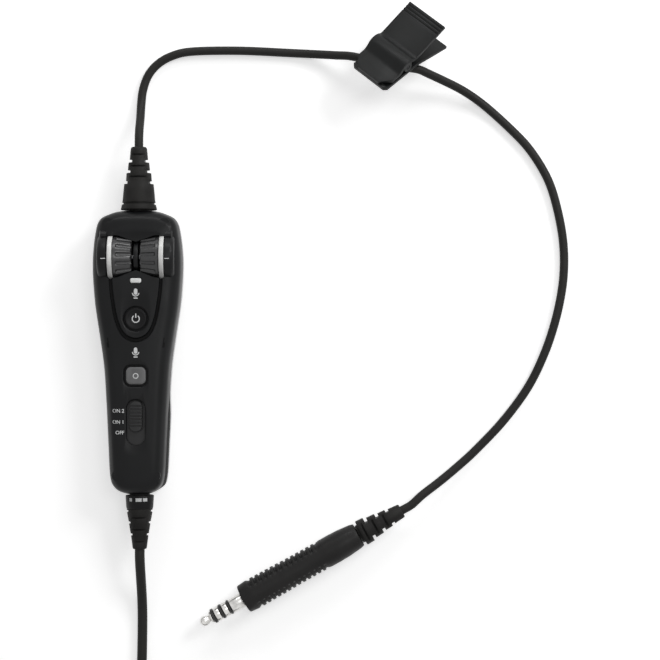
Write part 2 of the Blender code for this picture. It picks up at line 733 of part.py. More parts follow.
def make_buttons():
    """The round power button and the square function button, each with a flange and a stem."""
    steps = [math.tau * i / 28 for i in range(28)]

    def round_outline(inset):
        radius = POWER_R - inset
        return [(radius * math.cos(t), POWER_Y + radius * math.sin(t)) for t in steps]

    def square_outline(inset):
        width, length = FUNCTION_WIDTH - 2 * inset, FUNCTION_LENGTH - 2 * inset
        return rounded_outline(width, length, FUNCTION_CORNER - 0.6 * inset, FUNCTION_Y)

    flange_top = ceiling() - SEAT_GAP
    flange_low = flange_top - 0.7
    power = make_object("power_button", domed_button(round_outline, 0.0, 0.5), BLACK_PLASTIC)
    flange = upright_cylinder(POWER_R + 1.1, 0, POWER_Y, flange_low, flange_top, 24)
    join(power, "power_flange", flange)
    join(power, "power_stem", upright_cylinder(1.4, 0, POWER_Y, stem_bottom(), flange_low + 0.2, 12))
    function = make_object("function_button", domed_button(square_outline, 0.1, 0.6), GREY_KEY)
    flange = rounded_outline(FUNCTION_WIDTH + 2.2, FUNCTION_LENGTH + 2.2, 3.0, FUNCTION_Y)
    join(function, "function_flange", prism(flange, flange_low, flange_top))
    stem = upright_cylinder(1.4, 0, FUNCTION_Y, stem_bottom(), flange_low + 0.2, 12)
    join(function, "function_stem", stem)


def make_slider():
    """The mode slider: a ribbed knob on a plate that closes the slot from inside."""
    middle = knob_middle()
    flange_top = ceiling() - SEAT_GAP
    plate_y = (middle - 15.0, middle + 13.3)
    plate = box((-5.2, 5.2), plate_y, (flange_top - 0.8, flange_top))
    slider = make_object("mode_slider", plate, BLACK_PLASTIC)
    top = FACE_Z + 0.5
    outline = rounded_outline(KNOB_WIDTH, KNOB_LENGTH, 2.9, middle, 5)
    inner = rounded_outline(KNOB_WIDTH - 1.0, KNOB_LENGTH - 1.0, 2.4, middle, 5)
    rows = [(flange_top - 0.3, outline), (top - 0.5, outline), (top, inner)]
    join(slider, "slider_knob", loft([[(x, y, z) for x, y in ring] for z, ring in rows]))
    stem_low = board_bottom() + BOARD_THICKNESS + SEAT_GAP + 0.7
    stem = box((-1.1, 1.1), (middle - 1.9, middle + 1.9), (stem_low, flange_top - 0.4))
    join(slider, "slider_stem", stem)
    pitch = 1.6
    grooves = []
    for i in range(KNOB_RIBS):
        y = middle + KNOB_LENGTH / 2 - 2.4 - i * pitch
        grooves.append(box((-KNOB_WIDTH, KNOB_WIDTH), (y - 0.35, y + 0.35), (top - 0.5, top + 2)))
    cut(slider, "slider_grooves", merged(grooves))


def make_status_window():
    """The white light window over the buttons."""
    outline = rounded_outline(STATUS_WIDTH, STATUS_LENGTH, 0.8, STATUS_Y, 3)
    pane = prism(outline, ceiling() - SEAT_GAP - 0.2, FACE_Z + 0.1)
    window = make_object("status_window", pane, WHITE_PLASTIC)
    flange = rounded_outline(STATUS_WIDTH + 2, STATUS_LENGTH + 1.6, 1.0, STATUS_Y, 3)
    join(window, "status_flange", prism(flange, ceiling() - SEAT_GAP - 1.0, ceiling() - SEAT_GAP))


def wheel_ring(axial, top_radius, depth):
    """One ring of a ribbed wheel: each rib has a flat top, and depth sinks the valleys between them."""
    points = []
    for rib in range(WHEEL_RIBS):
        for share, low in ((-0.26, 0), (0.26, 0), (0.34, 1), (0.66, 1)):
            t = math.tau * (rib + share) / WHEEL_RIBS
            radius = top_radius - depth * low
            points.append((axial, radius * math.cos(t), radius * math.sin(t)))
    return points


def make_wheels():
    """The two volume wheels, each with its band and shaft, about one axle line."""
    inner, outer = WHEEL_INNER_X, WHEEL_OUTER_X
    seat = outer - BAND_WIDTH
    seat_r = BAND_R - BAND_THICKNESS - SEAT_GAP
    for name, side in (("left", -1), ("right", 1)):
        axis = make_empty(name + "_wheel_axis", (0, AXLE_Y, AXLE_Z))
        rim = seat - 0.3
        slope = (WHEEL_RIM_R - WHEEL_WAIST_R) / (rim - inner)
        rows = [(inner, WHEEL_WAIST_R, RIB_DEPTH)]
        for back, depth in ((RIB_END + 0.3, RIB_DEPTH), (RIB_END, 0.0)):
            rows.append((rim - back, WHEEL_RIM_R - back * slope, depth))
        rows += [(rim, WHEEL_RIM_R, 0.0), (rim, seat_r, 0.0), (outer, seat_r, 0.0)]
        shape = loft([wheel_ring(side * x, radius, depth) for x, radius, depth in rows])
        wheel = make_object("volume_wheel_" + name, shape, BLACK_RUBBER, axis)
        fit = SHAFT_R + SHAFT_FIT
        bore = turned([(side * (inner - 1), fit), (side * (outer + 1), fit)], 16)
        cut(wheel, name + "_wheel_bore", bore, axis)
        low, high = BAND_R - BAND_THICKNESS, BAND_R
        loop = [(seat, low), (seat, high - 0.2), (outer, high), (outer, low)]
        band = hoop([(side * x, radius) for x, radius in loop], 32)
        make_object("wheel_band_" + name, band, WHITE_PLASTIC, axis)
        tip = outer + 0.5 + POT_WIDTH - 0.2
        shaft = turned([(side * 0.3, SHAFT_R), (side * tip, SHAFT_R)], 16)
        make_object("wheel_shaft_" + name, shaft, STEEL, axis)


def make_wheel_supports():
    """The divider between the wheels and the potentiometer beside each."""
    turn_up = AXLE_Z - DOOR_FLOOR - SEAT_GAP
    half = DIVIDER_HALF
    profile = [(-half, DIVIDER_R - 0.4), (-half + 0.4, DIVIDER_R)]
    profile += [(half - 0.4, DIVIDER_R), (half, DIVIDER_R - 0.4)]
    disc = turned(profile, 28)
    divider = make_object("wheel_divider", moved(disc, (0, AXLE_Y, AXLE_Z)), BLACK_PLASTIC)
    foot = box((-1.0, 1.0), (AXLE_Y - 4, AXLE_Y + 4), (AXLE_Z - turn_up, AXLE_Z - 2))
    join(divider, "divider_foot", foot)
    bore = turned([(-3, SHAFT_R + SHAFT_FIT), (3, SHAFT_R + SHAFT_FIT)], 16)
    cut(divider, "divider_bore", moved(bore, (0, AXLE_Y, AXLE_Z)))
    for name, side in (("left", -1), ("right", 1)):
        near = side * (WHEEL_OUTER_X + 0.5)
        far = near + side * POT_WIDTH
        shape = moved(turned([(near, POT_R), (far, POT_R)], 20), (0, AXLE_Y, AXLE_Z))
        pot = make_object("volume_pot_" + name, shape, STEEL)
        span = sorted((near + side * 0.2, far - side * 0.2))
        foot = box(span, (AXLE_Y - 2.6, AXLE_Y + 2.6), (2.6, AXLE_Z - 2))
        join(pot, name + "_pot_foot", foot)
        fit = SHAFT_R + SHAFT_FIT
        bore = turned([(near - side, fit), (far + side, fit)], 16)
        cut(pot, name + "_pot_bore", moved(bore, (0, AXLE_Y, AXLE_Z)))


def make_case_screws():
    """Four screws from the back into the front shell."""
    steps = [math.tau * i / 10 for i in range(10)]
    rows = [(0.3, SCREW_HEAD_R - 0.3), (0.6, SCREW_HEAD_R), (1.7, SCREW_HEAD_R)]
    rows += [(1.7, SCREW_R), (18.6, SCREW_R)]
    for number, (x, y) in enumerate(screw_places(), 1):
        rings = [[(x + r * math.cos(t), y + r * math.sin(t), z) for t in steps] for z, r in rows]
        make_object("case_screw_%d" % number, loft(rings), STEEL)


def relief_slots(places, web, depth_from_top, width, reach):
    """Cutters of a strain relief: notches from both sides, and slots from above and below."""
    blocks = []
    for y, half in places:
        for side in (-1, 1):
            span = sorted((side * half, side * reach))
            blocks.append(box(span, (y - width / 2, y + width / 2), (-reach, reach)))
    for y, half in web:
        for side in (-1, 1):
            span = sorted((side * half, side * reach))
            edges = (y - depth_from_top / 2, y + depth_from_top / 2)
            blocks.append(box((-reach, reach), edges, span))
    return merged(blocks)


def relief_root():
    """The end of a strain relief inside the casing: a flange behind the wall and a neck through it."""
    neck = 3.8
    flange = [(-neck - 1.2, RELIEF_FLANGE_R), (-neck, RELIEF_FLANGE_R)]
    return flange + [(-neck, RELIEF_NECK_R), (0.0, RELIEF_NECK_R)]


def make_upper_relief():
    """The rubber strain relief at the wheels' end, in steps down to the plug cord."""
    base = MODULE_TOP_Y + SEAT_GAP
    profile = relief_root()
    profile += [(0.0, 8.6), (2.4, 8.5), (2.9, 8.1), (4.9, 7.9), (12.6, 7.15), (13.8, 6.2)]
    profile += [(17.6, 6.0), (19.3, 5.3), (22.7, 5.0), (24.6, 4.4)]
    profile += [(UPPER_RELIEF_LENGTH - 0.5, 3.9), (UPPER_RELIEF_LENGTH, 3.4)]
    axis = make_empty("upper_relief_axis", (UPPER_RELIEF_X, base, PARTING_Z))
    turn = Matrix.Rotation(math.pi / 2, 3, "Z")
    shape = moved(turned(profile, 16), (0, 0, 0), turn)
    relief = make_object("strain_relief_upper", shape, BLACK_RUBBER, axis)
    notches = [(13.2, 5.1), (18.5, 3.7), (23.6, 2.9)]
    slots = [(15.8, 4.2), (21.0, 3.4), (26.6, 2.9)]
    cut(relief, "upper_relief_slots", relief_slots(notches, slots, 0.7, 1.6, 12.0), axis)


def make_lower_relief():
    """The rubber strain relief at the battery end, tapering down to the headset cord."""
    profile = relief_root()
    profile += [(0.0, 6.8), (6.5, 6.5), (13.0, 5.2), (19.5, 4.2), (LOWER_RELIEF_LENGTH - 0.4, 3.4)]
    profile += [(LOWER_RELIEF_LENGTH, 3.0)]
    base = (LOWER_RELIEF_X, MODULE_END_Y - SEAT_GAP, PARTING_Z)
    axis = make_empty("lower_relief_axis", base, Matrix.Rotation(math.pi, 3, "Z"))
    turn = Matrix.Rotation(math.pi / 2, 3, "Z")
    shape = moved(turned(profile, 16), (0, 0, 0), turn)
    relief = make_object("strain_relief_lower", shape, BLACK_RUBBER, axis)
    notches = [(7.0, 5.2), (13.2, 4.2), (19.0, 3.3)]
    slots = [(10.6, 4.4), (16.4, 3.4), (22.2, 2.9)]
    cut(relief, "lower_relief_slots", relief_slots(notches, slots, 0.6, 1.2, 12.0), axis)


def plug_point(axial, z=PLUG_AXIS_Z):
    """A point on the plug's axis, from the handle's front face towards its cord."""
    x = PLUG_FRONT[0] + axial * math.cos(PLUG_TURN)
    return (x, PLUG_FRONT[1] + axial * math.sin(PLUG_TURN), z)


def make_cords():
    """The two cords where they lie free, and the coil of the part that is put away."""
    leave = MODULE_TOP_Y + SEAT_GAP + UPPER_RELIEF_LENGTH + SEAT_GAP
    tail = HANDLE_LENGTH + SEAT_GAP + TAIL_LENGTH + SEAT_GAP
    route = [
        (UPPER_RELIEF_X, leave, PARTING_Z),
        (UPPER_RELIEF_X, leave + 3.5, PARTING_Z),
        (0.4, 106.0, 10.6),
        (0.5, 112.0, 6.6),
        (0.6, 119.5, 3.1),
        (1.3, 126.0, 2.2),
        (3.8, 133.0, 2.2),
        (8.4, 138.6, 2.2),
        (15.2, 142.6, 2.2),
        (25.3, 144.9, 2.2),
        (48.8, 145.3, 2.2),
        (73.2, 144.2, 2.2),
        (84.0, 143.5, 3.4),
        (94.7, 142.5, 6.4),
        (104.4, 141.2, 10.4),
        holder_point(-5.0),
        holder_point(5.0),
        (135.2, 134.4, 15.4),
        (140.6, 132.4, 13.4),
        (148.6, 129.3, 9.6),
        (156.7, 125.8, 6.0),
        (164.6, 121.1, 3.4),
        (172.5, 114.9, 2.3),
        (182.1, 106.0, 2.2),
        (189.4, 98.3, 2.2),
        (195.9, 88.9, 2.2),
        (200.6, 79.4, 2.2),
        (204.1, 67.4, 2.2),
        (206.6, 54.0, 2.2),
        (207.3, 41.0, 2.2),
        (206.1, 27.3, 2.2),
        (202.6, 11.6, 2.2),
        (197.2, -4.0, 2.2),
        (189.4, -19.7, 2.2),
        (177.7, -35.6, 2.3),
        (164.2, -49.8, 2.9),
        (155.1, -58.0, 3.9),
        (146.2, -65.2, 5.6),
        (137.6, -71.6, 7.4),
        plug_point(tail + 5.0),
        plug_point(tail),
    ]
    make_tube("plug_cord", led_path(route, 10.0), PLUG_CORD_D / 2, 2, CORD_JACKET)
    radius = HEADSET_CORD_D / 2
    rest = coil_low_z()
    leave = MODULE_END_Y - SEAT_GAP - LOWER_RELIEF_LENGTH - SEAT_GAP
    route = [(LOWER_RELIEF_X, leave, PARTING_Z), (LOWER_RELIEF_X, leave - 4.0, PARTING_Z)]
    route += [(0.9, -108.0, 10.4), (1.0, -117.0, 6.2), (1.1, -126.0, radius + 0.9)]
    route += [(1.1, -136.0, radius + 0.1), (0.8, -155.0, radius + 0.2)]
    route += [(0.0, COIL_CENTRE_Y + 12.0, rest), (0.0, COIL_CENTRE_Y + HEADSET_CORD_D + SEAT_GAP, rest)]
    make_tube("headset_cord", led_path(route, 9.0), radius, 3, CORD_JACKET)
    path = coil_path()
    make_tube("headset_cord_coil", path, radius, 1, CORD_JACKET)
    print("least gap of the coil to itself: %.2f mm" % least_gap(path, HEADSET_CORD_D))
    start = path[-1] + Vector((SEAT_GAP, 0, 0))
    end_z = CONNECTOR_HEIGHT / 2
    end = Vector((CONNECTOR_X - CONNECTOR_RELIEF - SEAT_GAP, start.y, end_z))
    route = [start, start + Vector((5.0, 0, 0)), start.lerp(end, 0.62) + Vector((0, -0.6, -0.5))]
    route += [end - Vector((4.0, 0, 0)), end]
    make_tube("headset_cord_end", led_path(route, 6.0), radius, 3, CORD_JACKET)


def coil_low_z():
    """Height of the cord's middle in the coil's lower layer, over the strap that holds it."""
    return HEADSET_CORD_D / 2 + TIE_THICKNESS + SEAT_GAP


def coil_outer_r():
    """Radius of the coil's first and last turn."""
    return COIL_INNER_R + COIL_PITCH * (COIL_TURNS - 0.5) / 2


def coil_centre():
    """Middle of the coil: its first turn starts on the line of the headset cord."""
    return Vector((coil_outer_r(), COIL_CENTRE_Y, 0.0))


def coil_radius(turn):
    """Radius after so many turns: in to the middle of the coil's run and out again."""
    middle = COIL_TURNS / 2
    return COIL_INNER_R - COIL_PITCH / 4 + COIL_PITCH * abs(turn - middle)


def coil_path():
    """Spirals in on the lower layer, climbs in the half turn where it reverses, and spirals out on top."""
    count = round(COIL_TURNS * COIL_TURN_POINTS)
    centre = coil_centre()
    low = coil_low_z()
    points = []
    for i in range(count + 1):
        turn = COIL_TURNS * i / count
        climb = min(max((turn - COIL_TURNS / 2) * 2 + 0.5, 0.0), 1.0)
        z = low + COIL_PITCH * climb
        angle = math.pi + math.tau * turn
        radius = coil_radius(turn)
        points.append(centre + Vector((radius * math.cos(angle), radius * math.sin(angle), z)))
    first, last = points[0], points[-1]
    straight = HEADSET_CORD_D
    return [first + Vector((0, straight, 0)), *points, last + Vector((straight, 0, 0))]


def least_gap(path, diameter):
    """Least distance between turns of a wound tube, surface to surface, measured on its points."""
    fine = []
    for a, b in zip(path, path[1:]):
        fine += [a.lerp(b, i / 4) for i in range(4)]
    lengths = [0.0]
    for a, b in zip(fine, fine[1:]):
        lengths.append(lengths[-1] + (b - a).length)
    least = 1e9
    for i in range(len(fine)):
        for j in range(i + 1, len(fine)):
            if lengths[j] - lengths[i] > 3 * diameter:
                least = min(least, (fine[i] - fine[j]).length)
    return least - diameter


def make_coil_tie():
    """The strap round the coil, with its overlapping end."""
    centre = coil_centre()
    inner = COIL_INNER_R - COIL_PITCH / 4 - HEADSET_CORD_D / 2 - 0.4
    outer = coil_outer_r() + HEADSET_CORD_D / 2 + 0.4
    top = coil_low_z() + COIL_PITCH + HEADSET_CORD_D / 2 + SEAT_GAP
    width, height = outer - inner, top - TIE_THICKNESS
    middle = (inner + outer) / 2
    hole = rounded_outline(width, height, 2.2, TIE_THICKNESS + height / 2)
    grown = 2 * TIE_THICKNESS
    skin = rounded_outline(width + grown, height + grown, 2.8, TIE_THICKNESS + height / 2)
    rings = []
    for y, outline in ((-1, hole), (-1, skin), (1, skin), (1, hole)):
        rings.append([(centre.x + middle + x, centre.y + y * TIE_WIDTH / 2, z) for x, z in outline])
    tie = make_object("coil_tie", loft(rings, closed=True), BLACK_RUBBER)
    left = centre.x + middle - width / 4
    reach = TIE_WIDTH / 2 - 0.4
    edges = (centre.y - reach, centre.y + reach)
    lap = box((left, left + width * 0.45), edges, (top + 0.3, top + 1.4))
    join(tie, "tie_lap", lap)


def handle_radius(axial):
    """The handle's outline: nearly straight, a slight swell near the rear and drawn in at the end."""
    stations = [(0.0, HANDLE_R - 0.5), (0.8, HANDLE_R), (30.0, HANDLE_R - 0.5)]
    stations += [(50.0, HANDLE_R - 0.45), (58.0, 6.7), (63.0, 6.1), (HANDLE_LENGTH, 5.6)]
    for (a, ra), (b, rb) in zip(stations, stations[1:]):
        if axial <= b:
            return ra + (rb - ra) * (axial - a) / (b - a)
    return stations[-1][1]


def handle_ring(axial, groove, count=16):
    """One ring of the handle; groove sinks its two sides and leaves the bands above and below."""
    ring = []
    for i in range(count):
        t = math.tau * (i + 0.5) / count
        side = min(max((abs(math.cos(t)) - 0.55) / 0.2, 0.0), 1.0)
        radius = handle_radius(axial) - groove * side
        ring.append((axial, radius * math.cos(t), radius * math.sin(t)))
    return ring


def make_plug():
    """The four-contact plug: handle, stepped tail, and the contacts on their insulating core."""
    axis = make_empty("plug_axis", plug_point(0.0), Matrix.Rotation(PLUG_TURN, 3, "Z"))
    rings = [handle_ring(0.0, 0.0), handle_ring(0.8, 0.0), handle_ring(4.6, 0.0)]
    for rib in range(HANDLE_RIBS):
        start = 6.0 + rib * HANDLE_RIB_PITCH
        rings.append(handle_ring(start, HANDLE_RIB_DEPTH))
        rings.append(handle_ring(start + HANDLE_RIB_PITCH / 2, 0.0))
    rings.append(handle_ring(6.0 + HANDLE_RIBS * HANDLE_RIB_PITCH, HANDLE_RIB_DEPTH * 0.5))
    rings += [handle_ring(a, 0.0) for a in (46.0, 54.0, 58.0, 63.0, HANDLE_LENGTH)]
    make_object("plug_handle", loft(rings), BLACK_RUBBER, axis)
    base = HANDLE_LENGTH + SEAT_GAP
    steps = [(0.0, 4.6), (1.2, 4.6), (1.2, 6.4), (5.2, 6.2), (6.6, 5.4), (11.0, 5.1)]
    steps += [(12.2, 4.6), (16.4, 4.4), (17.6, 3.9), (TAIL_LENGTH - 0.3, 3.5), (TAIL_LENGTH, 3.1)]
    shape = turned([(base + a, r) for a, r in steps], 16)
    tail = make_object("plug_tail", shape, BLACK_RUBBER, axis)
    notches = [(6.0, 3.4), (11.8, 2.9), (17.2, 2.8)]
    slots = relief_slots(notches, [(3.4, 4.0), (8.8, 3.4), (14.4, 2.9)], 1.0, 1.6, 12.0)
    bmesh.ops.rotate(slots, cent=(0, 0, 0), matrix=Matrix.Rotation(-math.pi / 2, 3, "Z"), verts=slots.verts)
    cut(tail, "plug_tail_slots", moved(slots, (base, 0, 0)), axis)
    core_r, collar_r, ring_r = 1.6, PLUG_SHAFT_R + 0.15, PLUG_SHAFT_R
    core = []
    for low, high in ((-17.2, -15.9), (-12.7, -11.5), (-8.3, -7.3)):
        core += [(low, core_r), (low, collar_r), (high, collar_r), (high, core_r)]
    core = core[1:] + [(-SEAT_GAP, core_r)]
    make_object("plug_insulator", turned(core, 16), BLACK_PLASTIC, axis)
    bore = core_r + SEAT_GAP
    contacts = [("plug_ring_front", -15.6, -13.0), ("plug_ring_rear", -11.2, -8.6)]
    contacts += [("plug_sleeve", -7.0, -SEAT_GAP)]
    for name, low, high in contacts:
        loop = [(low, bore), (low, ring_r - 0.1), (low + 0.3, ring_r), (high, ring_r), (high, bore)]
        make_object(name, hoop(loop, 20), NICKEL, axis)
    tip = [(-17.5, 2.9), (-18.3, 2.7), (-19.0, 1.9), (-19.6, 1.8), (-20.2, 2.1)]
    tip += [(-21.2, 2.4), (-22.2, 2.35), (-23.2, 1.8), (-23.8, 1.0), (-24.0, 0.4)]
    make_object("plug_tip", turned(tip, 16), NICKEL, axis)


def clip_rotation():
    """Turns the clip's own frame to the way that the clip leans on the cord."""
    lean = Matrix.Rotation(CLIP_PITCH, 3, "X") @ Matrix.Rotation(-CLIP_ROLL, 3, "Y")
    return Matrix.Rotation(CLIP_TURN, 3, "Z") @ lean


def holder_point(along):
    """A point on the cord's line through the clip's holder."""
    across = Vector((math.cos(CORD_ACROSS_CLIP), math.sin(CORD_ACROSS_CLIP), 0.0))
    return tuple(Vector((*CLIP_CENTRE, CLIP_CORD_Z)) + clip_rotation() @ across * along)


def sheet(profile, half_width):
    """A bent plate: a closed side view in y and z, as wide as the jaw."""
    return loft([[(x, y, z) for y, z in profile] for x in (-half_width, half_width)])


def ear(side, near, far, radius, foot):
    """A jaw's ear round the hinge pin; foot is the edge where it meets its jaw."""
    steps = 10
    arc = []
    for i in range(steps + 1):
        t = math.pi * i / steps if foot < CLIP_PIN_Z else math.pi + math.pi * i / steps
        arc.append((CLIP_PIN_Y + radius * math.cos(t), CLIP_PIN_Z + radius * math.sin(t)))
    arc += [(arc[-1][0], foot), (arc[0][0], foot)]
    return loft([[(x, y, z) for y, z in arc] for x in sorted((side * near, side * far))])


def clip_rod(radius, half):
    """A rod on the clip's hinge axis."""
    return moved(turned([(-half, radius), (half, radius)], 16), (0, CLIP_PIN_Y, CLIP_PIN_Z))


def make_clip():
    """The garment clip: a holder on the cord, two sprung jaws on one pin."""
    frame = make_empty("clip_swivel_axis", (*CLIP_CENTRE, CLIP_CORD_Z), clip_rotation())
    hinge = make_empty("clip_hinge_axis", (0, CLIP_PIN_Y, CLIP_PIN_Z), None, frame)
    make_clip_holder(frame)
    make_lower_jaw(frame)
    make_upper_jaw(hinge)
    make_object("clip_pin", clip_rod(CLIP_PIN_R, CLIP_WIDTH / 2 - 0.1), STEEL, frame)
    make_tube("clip_spring", spring_path(), SPRING_WIRE_R, 1, STEEL, frame)


def make_clip_holder(frame):
    """The sleeve on the cord, with the rivet that the lower jaw swivels on."""
    along = Matrix.Rotation(CORD_ACROSS_CLIP, 3, "Z")
    sleeve = moved(turned([(-3.8, 3.5), (3.8, 3.5)], 20), (0, 0, 0), along)
    holder = make_object("clip_cord_holder", sleeve, BLACK_PLASTIC, frame)
    seat = LOWER_JAW_Z + CLIP_SHEET + SEAT_GAP
    join(holder, "holder_post", upright_cylinder(RIVET_R, 0, 0, 2.6, seat + 0.2, 16), frame)
    join(holder, "holder_rivet", upright_cylinder(RIVET_R + 0.9, 0, 0, seat, seat + 0.5, 16), frame)
    cord_r = PLUG_CORD_D / 2 + SEAT_GAP + 0.15
    cut(holder, "holder_bore", moved(turned([(-8, cord_r), (8, cord_r)], 16), (0, 0, 0), along), frame)


def make_lower_jaw(frame):
    """The lower jaw: a plate with a lip in front, a tab bent towards the cord and two ears."""
    bottom, top = LOWER_JAW_Z, LOWER_JAW_Z + CLIP_SHEET
    end = LOWER_TAB_Y
    side_view = [(CLIP_FRONT_Y, bottom), (6.5, bottom), (end, bottom - LOWER_TAB_DROP)]
    side_view += [(end + 0.3, top - LOWER_TAB_DROP), (6.5, top), (CLIP_FRONT_Y + 2.0, top)]
    side_view += [(CLIP_FRONT_Y + 1.4, top + 0.6), (CLIP_FRONT_Y, top + 0.6)]
    half = CLIP_WIDTH / 2 - 0.3
    lower = make_object("clip_lower_jaw", sheet(side_view, half), BLACK_PLASTIC, frame)
    near = CLIP_WIDTH / 2 - 2 * EAR_WIDTH - 0.4
    ears = [ear(s, near, near + EAR_WIDTH, EAR_R, top - 0.6) for s in (-1, 1)]
    join(lower, "lower_ears", merged(ears), frame)
    cut(lower, "lower_corners", clip_corners(half, 1.4), frame)
    cut(lower, "swivel_hole", upright_cylinder(RIVET_R + SEAT_GAP, 0, 0, bottom - 1, top + 0.1, 16), frame)
    cut(lower, "lower_pin_holes", clip_rod(CLIP_PIN_R + SEAT_GAP, CLIP_WIDTH), frame)


def make_upper_jaw(hinge):
    """The upper jaw: a flat front, a hump over the spring, a crease, and a ribbed finger tab."""
    low = LOWER_JAW_Z + CLIP_SHEET + 0.6 + SEAT_GAP
    crease_y, crease_z = CLIP_CREASE
    outside = [(CLIP_FRONT_Y, low + CLIP_SHEET), (-5.9, 8.9), (-4.0, 10.6), (-2.0, 12.0)]
    outside += [(0.0, 12.5), (2.4, 12.2), CLIP_CREASE, (CLIP_TAB_Y, CLIP_TAB_Z)]
    inside = [(CLIP_TAB_Y + 0.5, CLIP_TAB_Z - CLIP_SHEET), (crease_y + 0.2, crease_z - CLIP_SHEET)]
    inside += [(2.0, 10.6), (0.0, 10.9), (-1.6, 10.5), (-3.4, 8.9), (-5.4, 7.3)]
    inside += [(CLIP_FRONT_Y, low)]
    shape = hinged(sheet(outside + inside, CLIP_WIDTH / 2))
    upper = make_object("clip_upper_jaw", shape, BLACK_PLASTIC, hinge)
    near = CLIP_WIDTH / 2 - EAR_WIDTH - 0.05
    ears = [ear(s, near, CLIP_WIDTH / 2 - 0.05, EAR_R + 0.4, 11.2) for s in (-1, 1)]
    join(upper, "upper_ears", hinged(merged(ears)), hinge)
    cut(upper, "upper_corners", hinged(clip_corners(CLIP_WIDTH / 2, 4.0)), hinge)
    cut(upper, "upper_pin_holes", hinged(clip_rod(CLIP_PIN_R + SEAT_GAP, CLIP_WIDTH)), hinge)
    cut(upper, "tab_grooves", hinged(tab_grooves()), hinge)


def hinged(shape):
    """Moves a shape from the clip's frame to that of its hinge."""
    return moved(shape, (0, -CLIP_PIN_Y, -CLIP_PIN_Z))


def clip_corners(half_width, size):
    """Cutters that take off a jaw's two front corners."""
    cutters = []
    for side in (-1, 1):
        edge = side * (half_width + 1)
        points = [(edge, CLIP_FRONT_Y - 1), (edge, CLIP_FRONT_Y + size)]
        points.append((edge - side * (size + 1), CLIP_FRONT_Y - 1))
        cutters.append(prism(points, -2, 20))
    return merged(cutters)


def tab_grooves():
    """Finger grooves across the tab, square to its slope."""
    crease = Vector((0, *CLIP_CREASE))
    slope = Vector((0, CLIP_TAB_Y, CLIP_TAB_Z)) - crease
    length = slope.length
    slope.normalize()
    up = Vector((0, -slope.z, slope.y))
    cutters = []
    for back in (1.6, 3.2, 4.8):
        middle = crease + slope * (length - back)
        ring = [middle - slope * 0.35 - up * 0.4, middle + slope * 0.35 - up * 0.4]
        ring += [middle + slope * 0.35 + up, middle - slope * 0.35 + up]
        cutters.append(loft([[(x, p.y, p.z) for p in ring] for x in (-CLIP_WIDTH, CLIP_WIDTH)]))
    return merged(cutters)


def tangent_angle(y, z, upper):
    """Where round the spring's turns a straight arm from a point leaves them."""
    side = math.acos(SPRING_R / math.hypot(y - CLIP_PIN_Y, z - CLIP_PIN_Z))
    return math.atan2(z - CLIP_PIN_Z, y - CLIP_PIN_Y) + (side if upper else -side)


def spring_path():
    """The torsion spring: an arm under the tab, its turns round the pin and an arm on the lower jaw."""
    half = (2 * SPRING_WIRE_R + 0.55) * SPRING_TURNS / 2
    tab_arm = (10.5, 10.2)
    jaw_arm = (5.5, LOWER_JAW_Z + CLIP_SHEET + SEAT_GAP + SPRING_WIRE_R)
    start = tangent_angle(*tab_arm, False)
    total = math.tau * SPRING_TURNS + start - tangent_angle(*jaw_arm, True)
    count = 10 * SPRING_TURNS
    points = [Vector((-half, *tab_arm))]
    for i in range(count + 1):
        t = start - total * i / count
        x = -half + 2 * half * i / count
        y = CLIP_PIN_Y + SPRING_R * math.cos(t)
        points.append(Vector((x, y, CLIP_PIN_Z + SPRING_R * math.sin(t))))
    points.append(Vector((half, *jaw_arm)))
    return points


